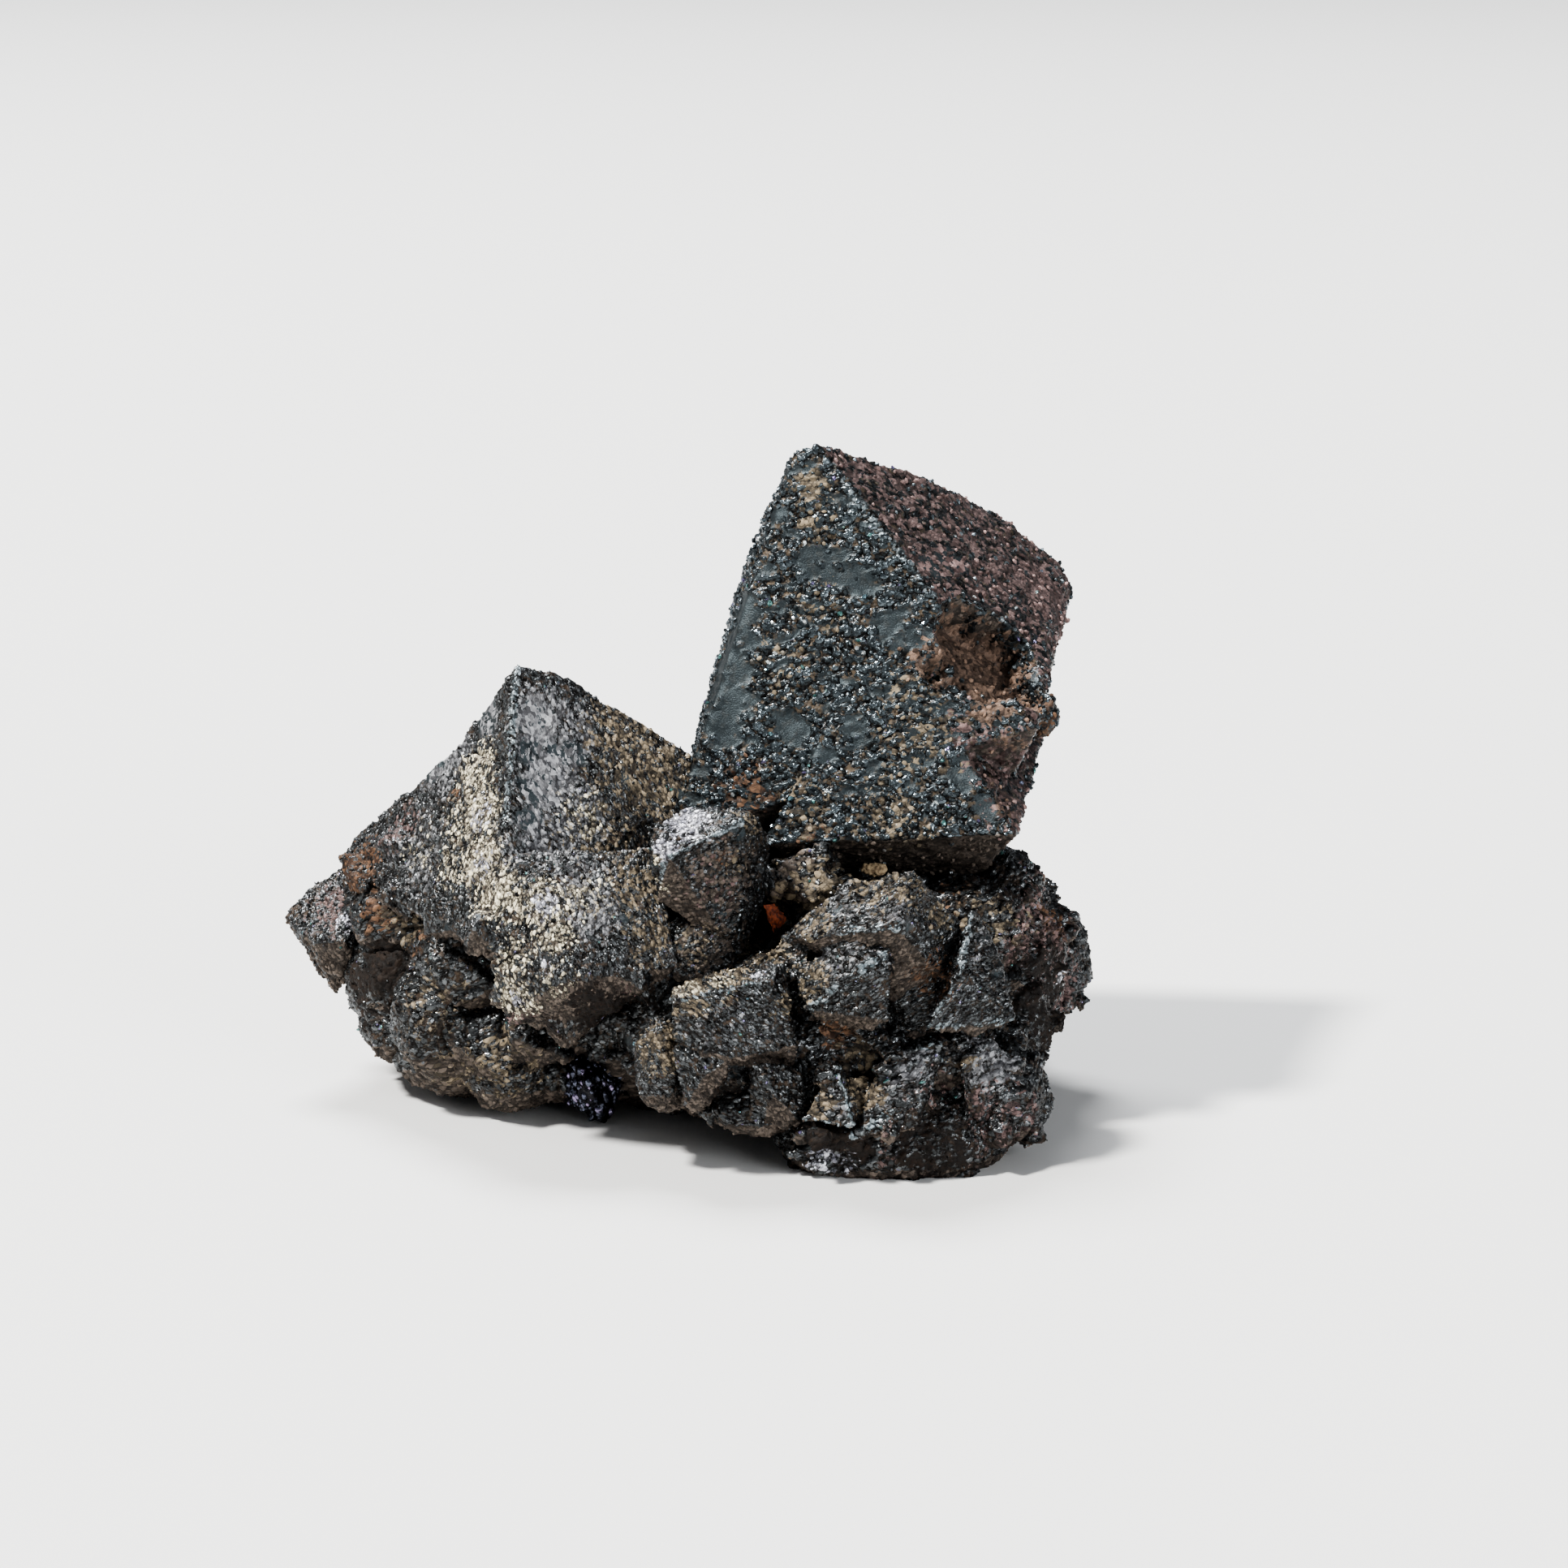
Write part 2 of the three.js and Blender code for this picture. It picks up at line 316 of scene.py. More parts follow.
def stain(piece, name, spots=(), facing=(), lines=()):
    mesh = piece.data
    count = len(mesh.vertices)
    place = readVectors(mesh.vertices, "co", count) / mm
    normal = readVectors(mesh.vertex_normals, "vector", count)
    weight = np.zeros(count, np.float32)
    for x, y, z, reach, strength in spots:
        away = np.linalg.norm(place - np.array((x, y, z)), axis=1) / reach
        weight = np.maximum(weight, faded(away, strength))
    for start, end, reach, strength in lines:
        along = np.array(end) - np.array(start)
        part = np.clip((place - np.array(start)) @ along / (along @ along), 0, 1)
        away = np.linalg.norm(place - np.array(start) - part[:, None] * along, axis=1) / reach
        weight = np.maximum(weight, faded(away, strength))
    for towards, low, high, strength in facing:
        towards = np.array(towards) / np.linalg.norm(towards)
        share = np.clip((normal @ towards - low) / (high - low), 0, 1)
        weight = np.maximum(weight, strength * share)
    layer = mesh.attributes.get(name) or mesh.attributes.new(name, "FLOAT", "POINT")
    layer.data.foreach_set("value", weight.astype(np.float32))


# geometry nodes, made for one piece, applied and thrown away


def newGeometryTree(name):
    tree = bpy.data.node_groups.new(name, "GeometryNodeTree")
    tree.interface.new_socket("Geometry", in_out="INPUT", socket_type="NodeSocketGeometry")
    tree.interface.new_socket("Geometry", in_out="OUTPUT", socket_type="NodeSocketGeometry")
    source = tree.nodes.new("NodeGroupInput").outputs[0]
    return tree, source, tree.nodes.new("NodeGroupOutput").inputs[0]


def applyTree(piece, tree, geometry, out):
    tree.links.new(geometry, out)
    applied(piece, "NODES", node_group=tree)
    bpy.data.node_groups.remove(tree)


def moved(tree, geometry, offset):
    inputs = {"Geometry": geometry, "Offset": offset}
    return put(tree, "GeometryNodeSetPosition", inputs).outputs[0]


def readWeight(tree, name):
    node = put(tree, "GeometryNodeInputNamedAttribute", {"Name": name}, data_type="FLOAT")
    return node.outputs["Attribute"]


def keepWeight(tree, geometry, name, value, kind="FLOAT"):
    node = put(
        tree, "GeometryNodeStoreNamedAttribute", {"Name": name}, data_type=kind, domain="POINT"
    )
    wire(tree, geometry, node.inputs["Geometry"])
    wire(tree, value, node.inputs["Value"])
    return node.outputs[0]


def positionOf(tree):
    return tree.nodes.new("GeometryNodeInputPosition").outputs[0]


def scatter(tree, geometry, spacing, density, seed):
    inputs = {"Mesh": geometry, "Distance Min": spacing, "Density Max": density, "Seed": seed}
    return put(
        tree, "GeometryNodeDistributePointsOnFaces", inputs, distribute_method="POISSON"
    )


def anyOf(tree, seed, kind="FLOAT", low=None, high=None):
    node = put(tree, "FunctionNodeRandomValue", {"Seed": seed}, data_type=kind)
    slot = 0 if kind == "FLOAT_VECTOR" else 1
    if low is not None:
        node.inputs[2 * slot].default_value = low
    if high is not None:
        node.inputs[2 * slot + 1].default_value = high
    return node.outputs[slot]


def setOut(tree, points, instance, turn, reach):
    inputs = {"Points": points, "Instance": instance, "Rotation": turn, "Scale": reach}
    placed = put(tree, "GeometryNodeInstanceOnPoints", inputs).outputs[0]
    return put(tree, "GeometryNodeRealizeInstances", {"Geometry": placed}).outputs[0]


# small octahedral crystals that stand out of a lump, run into it before its relief is raised

studDensest = 1.0e6
studEasing = 5


def stud(piece, spacing, smallest, biggest, seed, voxel):
    tree, geometry, out = newGeometryTree(piece.name + "Studs")
    points = scatter(tree, geometry, spacing * mm, studDensest, seed).outputs["Points"]
    turn = anyOf(tree, seed + 1, "FLOAT_VECTOR", high=(math.pi,) * 3)
    reach = anyOf(tree, seed + 2, low=smallest * mm, high=biggest * mm)
    shape = {"Radius": 1.0, "Segments": 4, "Rings": 2}
    crystal = put(tree, "GeometryNodeMeshUVSphere", shape).outputs[0]
    joined = tree.nodes.new("GeometryNodeJoinGeometry")
    for part in (setOut(tree, points, crystal, turn, reach), geometry):
        tree.links.new(part, joined.inputs[0])
    applyTree(piece, tree, joined.outputs[0], out)
    evenOut(piece, voxel, studEasing)


# relief: beads, grit, ledges, plates, blocks and a slow swell, raised along the normal. The
# same crust of beads serves the relief and the finish: laid is the surface's own grid, one
# large bead to a unit, kept on the mesh from before it is raised

crustBeads = {"large": (0.3, 0.72), "small": (0.35, 0.7), "smallInLarge": 2.0}
beadRim = (0.05, 0.3)  # the heights between which a bead comes clear of its gap
gritRim = (0.05, 0.45)


def beads(tree, place, small, large):
    cells = put(tree, "ShaderNodeTexVoronoi", {"Vector": place, "Scale": 1.0})
    chance = axes(tree, cells.outputs["Color"])
    reach = timesPlus(tree, chance[0], large - small, small)
    away = calc(tree, "DIVIDE", cells.outputs["Distance"], reach)
    dome = calc(tree, "SUBTRACT", 1.0, times(tree, away, away), clamp=True)
    height = times(tree, calc(tree, "SQRT", dome), reach)
    return height, cells.outputs["Position"], chance


def crust(tree, laid):
    closer = vectorCalc(tree, "SCALE", laid, crustBeads["smallInLarge"])
    return beads(tree, laid, *crustBeads["large"]), beads(tree, closer, *crustBeads["small"])


pitEdge = {"ragged": 0.5, "wall": (0.2, 0.75), "rim": (0.0, 0.3)}


def hollowOut(piece, way, depth):
    tree, geometry, out = newGeometryTree(piece.name + "Pit")
    place = vectorCalc(tree, "SCALE", positionOf(tree), 1 / mm)
    weight = readWeight(tree, "pit")
    ragged = timesPlus(tree, lessHalf(tree, wave(tree, place, "pit")), pitEdge["ragged"], weight)
    rim = ramp(tree, weight, *pitEdge["rim"])
    share = times(tree, ramp(tree, ragged, *pitEdge["wall"]), rim)
    push = times(tree, share, depth * mm)
    offset = vectorCalc(tree, "SCALE", Vector(way).normalized(), push)
    applyTree(piece, tree, moved(tree, geometry, offset), out)


relief = {
    "stray": 2.4,  # how far rows and ledges wander, in millimetres
    "bareStain": 0.5,  # how much these two stains hold beads off or call them up
    "fineStain": 0.3,
    "bareEdge": 0.06,
    "gritOnBare": 0.15,
    "ledgeOnBare": 0.2,
    "ledgeLip": 0.12,
    "ledgeFrom": (0.42, 0.6),
    "plateFrom": (0.5, 0.52),
    "blockFall": (0.1, 0.95),
    "blockSunk": 0.4,
}


# 1 where beads have grown, 0 on bare plates
def beadCover(tree, look, slope, centre, chance):
    spot = vectorCalc(tree, "SCALE", centre, look["bead"])
    patchy = noise(tree, spot, look["patch"]).outputs[0]
    rows = calc(tree, "SINE", times(tree, slope, 2 * math.pi / look["rowStep"]))
    bare = timesPlus(tree, rows, look["rowShare"], patchy)
    held = times(tree, readWeight(tree, "bare"), relief["bareStain"])
    called = times(tree, readWeight(tree, "fine"), relief["fineStain"])
    bare = calc(tree, "SUBTRACT", calc(tree, "ADD", bare, held), called)
    grown = ramp(tree, bare, look["bareFrom"], look["bareFrom"] + relief["bareEdge"], 1.0, 0.0)
    return calc(tree, "MAXIMUM", grown, calc(tree, "GREATER_THAN", chance[0], look["loneFrom"]))


def thinned(tree, value, grown, onBare):
    return times(tree, value, timesPlus(tree, grown, 1 - onBare, onBare))


def ledges(tree, look, place, slope):
    step = calc(tree, "FRACT", calc(tree, "DIVIDE", slope, look["ledgeStep"]))
    lip = ramp(tree, step, 0.0, relief["ledgeLip"])
    ledge = times(tree, calc(tree, "SUBTRACT", 1.0, step), lip)
    return times(tree, ledge, ramp(tree, wave(tree, place, "ledges"), *relief["ledgeFrom"]))


def blocks(tree, look, bent):
    inputs = {"Vector": turned(tree, bent, look["turn"]), "Scale": 1 / look["block"]}
    cells = put(tree, "ShaderNodeTexVoronoi", inputs, distance="MANHATTAN")
    return ramp(tree, cells.outputs["Distance"], *relief["blockFall"], 1.0, 0.0, "LINEAR")


def raiseRelief(piece, look):
    tree, geometry, out = newGeometryTree(piece.name + "Relief")
    place = vectorCalc(tree, "SCALE", positionOf(tree), 1 / mm)
    drift = noise(tree, place, *waves["drift"]).outputs["Color"]
    drift = vectorCalc(tree, "SUBTRACT", drift, (0.5, 0.5, 0.5))
    bent = vectorCalc(tree, "ADD", place, vectorCalc(tree, "SCALE", drift, look["drift"]))
    leaned = turned(tree, bent, (0, look["lean"], 0))
    drawn = vectorCalc(tree, "MULTIPLY", leaned, look["drawn"])
    laid = vectorCalc(tree, "SCALE", drawn, 1 / look["bead"])

    (height, centre, chance), (gritHeight, _, _) = crust(tree, laid)
    slope = timesPlus(tree, wave(tree, place, "rows"), relief["stray"], axes(tree, leaned)[2])
    grown = beadCover(tree, look, slope, centre, chance)
    coarse = calc(tree, "SUBTRACT", grown, readWeight(tree, "fine"), clamp=True)
    raised = {
        "gritRise": thinned(tree, gritHeight, grown, relief["gritOnBare"]),
        "ledgeRise": thinned(tree, ledges(tree, look, place, slope), grown, relief["ledgeOnBare"]),
        "swell": lessHalf(tree, wave(tree, place, "swell")),
        "plateRise": ramp(tree, wave(tree, place, "plates"), *relief["plateFrom"]),
    }
    rise = times(tree, times(tree, height, coarse), look["beadRise"])
    rise = timesPlus(tree, blocks(tree, look, bent), look["blockRise"], rise)
    rise = calc(tree, "SUBTRACT", rise, look["blockRise"] * relief["blockSunk"])
    for label, amount in raised.items():
        rise = timesPlus(tree, amount, look[label], rise)
    rise = calc(tree, "SUBTRACT", rise, look["sink"])
    normal = tree.nodes.new("GeometryNodeInputNormal").outputs[0]
    offset = vectorCalc(tree, "SCALE", normal, times(tree, rise, mm))

    geometry = keepWeight(tree, geometry, "laid", laid, "FLOAT_VECTOR")
    geometry = keepWeight(tree, geometry, "coarse", coarse)
    geometry = keepWeight(tree, geometry, "grown", grown)
    applyTree(piece, tree, moved(tree, geometry, offset), out)


def thin(piece):
    triangles = 2 * len(piece.data.polygons)
    if triangles > pieceLimit:
        applied(piece, "DECIMATE", ratio=pieceLimit / triangles)


# finishes


def attribute(tree, name, output="Fac"):
    return put(tree, "ShaderNodeAttribute", {}, attribute_name=name).outputs[output]


def mixColour(tree, share, first, second):
    node = tree.nodes.new("ShaderNodeMix")
    node.data_type = "RGBA"
    wire(tree, share, node.inputs[0])
    for value, socket in ((first, node.inputs[6]), (second, node.inputs[7])):
        wire(tree, (*value, 1) if isinstance(value, tuple) else value, socket)
    return node.outputs[2]


def mixValue(tree, share, first, second):
    return put(tree, "ShaderNodeMix", {0: share, 2: first, 3: second}).outputs[0]


def objectPlace(tree):
    where = tree.nodes.new("ShaderNodeTexCoord").outputs["Object"]
    return vectorCalc(tree, "SCALE", where, 1 / mm)


def bumpUp(tree, shader, height, strength, distance):
    inputs = {"Strength": strength, "Distance": distance * mm, "Height": height}
    bump = put(tree, "ShaderNodeBump", inputs)
    tree.links.new(bump.outputs[0], shader.inputs["Normal"])


# each stain: what its beads look like at their lightest and at their darkest, how much of it
# is left to the chance of single beads, how dusty rather than metallic it is, and how much
# painted shade falls in its gaps

stains = {
    # matte dark brown; the faces turned down take it, so on undersides it is partly painted shade
    "dull": ((0.14, 0.113, 0.093), (0.034, 0.027, 0.022), 0.6, 0.8, 0.7),
    "pale": ((0.31, 0.313, 0.325), (0.058, 0.058, 0.062), 1.0, 0.5, 0.65),
    "maroon": ((0.22, 0.15, 0.14), (0.046, 0.029, 0.027), 1.0, 0.6, 0.7),
    "rust": ((0.155, 0.088, 0.053), (0.032, 0.017, 0.011), 0.9, 0.9, 0.65),
    "dust": ((0.26, 0.21, 0.145), (0.045, 0.037, 0.027), 1.0, 0.85, 0.7),
    "cream": ((0.86, 0.78, 0.58), (0.07, 0.058, 0.046), 1.0, 0.85, 0.95),
    "etched": ((0.225, 0.15, 0.11), (0.05, 0.034, 0.026), 0.4, 0.85, 0.5),
    # near-black brown laid into recesses, under ledges and on low faces by the floor: painted shade
    "earth": ((0.019, 0.0125, 0.009), (0.008, 0.006, 0.005), 0.5, 0.9, 0.6),
    # light slate laid along ridges and crystal edges: a painted highlight
    "edge": ((0.3, 0.34, 0.36), (0.09, 0.11, 0.12), 0.8, 0.15, 0.9),
    # near-white: pale grains in places, and a painted sheen on faces that catch the light
    "bright": ((0.72, 0.72, 0.78), (0.16, 0.16, 0.19), 0.8, 0.3, 0.9),
}

martite = {
    "bare": (0.04, 0.049, 0.053),
    "bareDark": (0.025, 0.031, 0.034),
    # the gaps between beads are painted near-black: painted shade
    "gap": (0.012, 0.0115, 0.0112),
    "bead": (0.034, 0.041, 0.045),
    "beadLight": (0.1, 0.12, 0.132),
    "tints": [(0.15, 0.13, 0.24), (0.1, 0.21, 0.2), (0.42, 0.44, 0.44)],
    "beadTintFrom": (0.955, 0.97, 0.985),
    "grainTintFrom": (0.94, 0.96, 0.98),
    "speck": (0.098, 0.072, 0.047),
    "speckShare": 0.6,
}
fineMartite = martite | {
    "gap": (0.0105, 0.0095, 0.009),
    "bead": (0.042, 0.0445, 0.046),
    "beadLight": (0.125, 0.132, 0.137),
    "speck": (0.075, 0.05, 0.033),
    "speckShare": 0.45,
}

# clean martite is metallic and a little rough; dust takes the metal off and roughens it
shine = {
    "metal": 0.78,
    "metalUnderDust": -0.85,
    "specular": 0.15,
    "bead": (-0.16, 0.36),  # roughness falls by this much for the lightest, from this
    "grain": (-0.2, 0.42),
    "bare": 0.5,
    "dust": 0.72,
    "grainDust": 0.7,
    "flicker": 0.2,
    "bump": (0.55, 0.14),  # strength, and depth in millimetres
    "gritBump": 0.5,
    "crispBump": (0.45, 0.1),  # the first is for bare plates only
}

# how the tones are mixed; a pair is where a ramp begins and where it is full
mixing = {
    "ragged": 1.1,  # how far the rim of a stain runs in and out
    "stainFrom": 0.4,
    "stainStep": 0.08,
    "tintStep": 0.01,
    "gritStands": 0.55,  # how far grit stands out of the gaps, beside a bead
    "gritChance": 0.25,
    "mottleCrisp": 0.4,
    "mottle": (0.38, 0.62),
    "lighter": (0.3, 1.0),
    "speck": (0.5, 0.62),
    "speckOnBare": 0.1,
    "speckDust": 0.6,
    "toneCrisp": 0.3,
    "toneChance": 0.9,
    "tone": (0.25, 1.0),
    "grainTone": (0.1, 0.9),
}


# how much of a stain shows at one place: ragged at its rim, and bead by bead
def coverOf(tree, amount, chance, bite, quick):
    ragged = timesPlus(tree, lessHalf(tree, quick), mixing["ragged"], amount)
    ragged = timesPlus(tree, chance, -bite, ragged)
    low = mixing["stainFrom"] * (1 - bite)
    shown = ramp(tree, ragged, low, low + mixing["stainStep"])
    return times(tree, shown, ramp(tree, amount, 0.0, mixing["stainStep"]))


def tinted(tree, colour, chance, starts, tints):
    for start, tint in zip(starts, tints):
        share = ramp(tree, chance, start, start + mixing["tintStep"])
        colour = mixColour(tree, share, colour, tint)
    return colour


def shineOn(tree, shader, dusty, rough):
    metal = timesPlus(tree, dusty, shine["metalUnderDust"], shine["metal"], clamp=True)
    tree.links.new(metal, shader.inputs["Metallic"])
    tree.links.new(rough, shader.inputs["Roughness"])
    shader.inputs["Specular IOR Level"].default_value = shine["specular"]


def martiteMaterial(name, colours):
    material, tree, shader = newMaterial(name)
    place = objectPlace(tree)
    coarse = attribute(tree, "coarse")
    grown = attribute(tree, "grown")
    laid = attribute(tree, "laid", "Vector")
    (height, _, chance), (gritHeight, _, gritChance) = crust(tree, laid)
    slow, quick, crisp = (wave(tree, place, label) for label in ("slow", "quick", "crisp"))

    onBead = times(tree, ramp(tree, height, *beadRim), coarse)
    onGrit = times(tree, ramp(tree, gritHeight, *gritRim), grown)
    plain = calc(tree, "SUBTRACT", 1.0, grown)
    standing = calc(tree, "MAXIMUM", onBead, times(tree, onGrit, mixing["gritStands"]))
    standing = calc(tree, "MAXIMUM", standing, plain)
    sunken = calc(tree, "SUBTRACT", 1.0, standing)
    pickOne, pickTwo = (
        mixValue(tree, mixing["gritChance"], chance[axis], gritChance[axis]) for axis in (1, 2)
    )

    # clean stone: mottled plates, beads of many tones, painted shade in the gaps, specks of earth
    mottle = mixValue(tree, mixing["mottleCrisp"], slow, crisp)
    mottle = ramp(tree, mottle, *mixing["mottle"])
    colour = mixColour(tree, mottle, colours["bareDark"], colours["bare"])
    lighter = ramp(tree, pickOne, *mixing["lighter"])
    bead = mixColour(tree, lighter, colours["bead"], colours["beadLight"])
    bead = tinted(tree, bead, pickOne, colours["beadTintFrom"], colours["tints"])
    # where no bead stands, the colour goes to the painted shade of the gaps
    bead = mixColour(tree, standing, colours["gap"], bead)
    colour = mixColour(tree, grown, colour, bead)
    offBead = calc(tree, "SUBTRACT", 1.0, onBead)
    speckled = times(tree, ramp(tree, quick, *mixing["speck"]), offBead)
    speckled = thinned(tree, speckled, grown, mixing["speckOnBare"])
    specks = times(tree, speckled, colours["speckShare"])
    colour = mixColour(tree, specks, colour, colours["speck"])

    dusty = times(tree, speckled, mixing["speckDust"])
    tone = timesPlus(tree, crisp, mixing["toneCrisp"], times(tree, pickOne, mixing["toneChance"]))
    tone = ramp(tree, tone, *mixing["tone"])
    for weight, (light, dark, bite, dustiness, gap) in stains.items():
        cover = coverOf(tree, attribute(tree, weight), pickTwo, bite, quick)
        mottled = mixColour(tree, tone, dark, light)
        # the sunken gaps of a stain take painted shade too
        mottled = mixColour(tree, times(tree, sunken, gap), mottled, colours["gap"])
        colour = mixColour(tree, cover, colour, mottled)
        dusty = mixValue(tree, cover, dusty, dustiness)
    tree.links.new(colour, shader.inputs["Base Color"])

    rough = mixValue(tree, plain, timesPlus(tree, pickOne, *shine["bead"]), shine["bare"])
    rough = mixValue(tree, dusty, rough, shine["dust"])
    rough = timesPlus(tree, lessHalf(tree, crisp), shine["flicker"], rough)
    shineOn(tree, shader, dusty, rough)
    raised = times(tree, times(tree, gritHeight, grown), shine["gritBump"])
    raised = calc(tree, "ADD", times(tree, height, coarse), raised)
    raised = timesPlus(tree, crisp, timesPlus(tree, plain, *shine["crispBump"]), raised)
    bumpUp(tree, shader, raised, *shine["bump"])
    return material


# loose grains take one colour each, from the stain that they sit on


def grainMaterial(name, colours):
    material, tree, shader = newMaterial(name)
    tone = attribute(tree, "tone")
    luck = attribute(tree, "luck")
    lighter = ramp(tree, tone, *mixing["lighter"])
    colour = mixColour(tree, lighter, colours["bead"], colours["beadLight"])
    colour = tinted(tree, colour, tone, colours["grainTintFrom"], colours["tints"])
    ownTone = ramp(tree, tone, *mixing["grainTone"])
    dusty = 0.0
    for weight, (light, dark, _, dustiness, _) in stains.items():
        cover = coverOf(tree, attribute(tree, weight), luck, 1.0, 0.5)
        colour = mixColour(tree, cover, colour, mixColour(tree, ownTone, dark, light))
        dusty = mixValue(tree, cover, dusty, dustiness)
    tree.links.new(colour, shader.inputs["Base Color"])
    rough = mixValue(tree, dusty, timesPlus(tree, tone, *shine["grain"]), shine["grainDust"])
    shineOn(tree, shader, dusty, rough)
    return material


crystalFinish = martiteMaterial("martiteCrystal", martite)
grainFinish = grainMaterial("martiteGrain", martite)
fineFinish = martiteMaterial("martiteFine", fineMartite)
fineGrainFinish = grainMaterial("martiteFineGrain", fineMartite)
print("finishes mixed")


def finished(piece, material, replaced="crystal_cluster", flat=False):
    piece.data.materials.clear()
    piece.data.materials.append(material)
    pick(piece)
    if flat:
        bpy.ops.object.shade_flat()
    else:
        bpy.ops.object.shade_smooth()
    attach(piece, "root")
    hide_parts(replaced)
    piece.data.calc_loop_triangles()
    print("made", piece.name, len(piece.data.loop_triangles))


# grains: small faceted crystals scattered over a finished piece and joined in one mesh

grainCrystals = {
    "small": (0.1, 0.1, 0.09),
    "big": (0.28, 0.24, 0.2),
    "densest": 2.0e7,
    "onFine": 0.25,  # how many of the grains stay on finely grained and on bare faces
    "onBare": 0.16,
    "grown": (0.1, 0.9),
    "clearOfFloor": 0.45,
}


def sprinkle(piece, spacing, seed, material, size=1.0):
    grains = piece.copy()
    grains.data = piece.data.copy()
    grains.name = piece.name + "_grains"
    bpy.context.scene.collection.objects.link(grains)
    tree, geometry, out = newGeometryTree(grains.name)
    onFine = grainCrystals["onFine"]
    wanted = timesPlus(tree, readWeight(tree, "coarse"), 1 - onFine, onFine)
    onGrown = readWeight(tree, "grown")
    onGrown = ramp(tree, onGrown, *grainCrystals["grown"], grainCrystals["onBare"], 1.0)
    wanted = times(tree, wanted, onGrown)
    level = axes(tree, positionOf(tree))[2]
    clear = calc(tree, "GREATER_THAN", level, grainCrystals["clearOfFloor"] * mm)
    apart = spacing * mm * fineness
    scattered = scatter(tree, geometry, apart, grainCrystals["densest"], seed)
    tree.links.new(times(tree, wanted, clear), scattered.inputs["Density Factor"])
    points = scattered.outputs["Points"]
    for order, label in enumerate(("tone", "luck")):
        points = keepWeight(tree, points, label, anyOf(tree, seed + order))
    turn = anyOf(tree, seed + 2, "FLOAT_VECTOR", high=(2 * math.pi,) * 3)
    small, big = (Vector(grainCrystals[end]) * size * mm for end in ("small", "big"))
    reach = anyOf(tree, seed + 3, "FLOAT_VECTOR", small, big)
    shape = {"Radius": 1.0, "Subdivisions": 1}
    bead = put(tree, "GeometryNodeMeshIcoSphere", shape).outputs[0]
    applyTree(grains, tree, setOut(tree, points, bead, turn, reach), out)
    finished(grains, material, flat=True)


# how a surface is grained: sizes and heights in millimetres

defaultLook = {
    "drift": 1.2,  # how far the grid of beads is bent
    "drawn": (1.0, 1.0, 1.5),
    "bead": 0.62,
    "patch": 0.22,
    "bareFrom": 0.56,
    "loneFrom": 0.95,  # single beads on bare plates
    "lean": 0.2,
    "rowStep": 1.5,
    "rowShare": 0.0,
    "ledgeStep": 1.5,
    "beadRise": 0.3,
    "gritRise": 0.1,
    "ledgeRise": 0.2,
    "swell": 0.25,
    "block": 2.4,
    "blockRise": 0.0,
    "plateRise": 0.0,
    "turn": (0.4, 0.3, 0.6),
    "sink": 0.1,
}


# every piece is made from growths with named corners, lumps (place, radii) and octahedra
# (place, reach, turn in degrees). First the tall crystal, with the pit etched into its
# right-hand face

rightFace = (0.62, -0.33, 0.71)
down = (0, -0.15, -1)
# faces turned down take the matte dark brown stain: partly painted shade on the undersides
shadedUnderside = (down, 0.35, 0.6, 1.0)

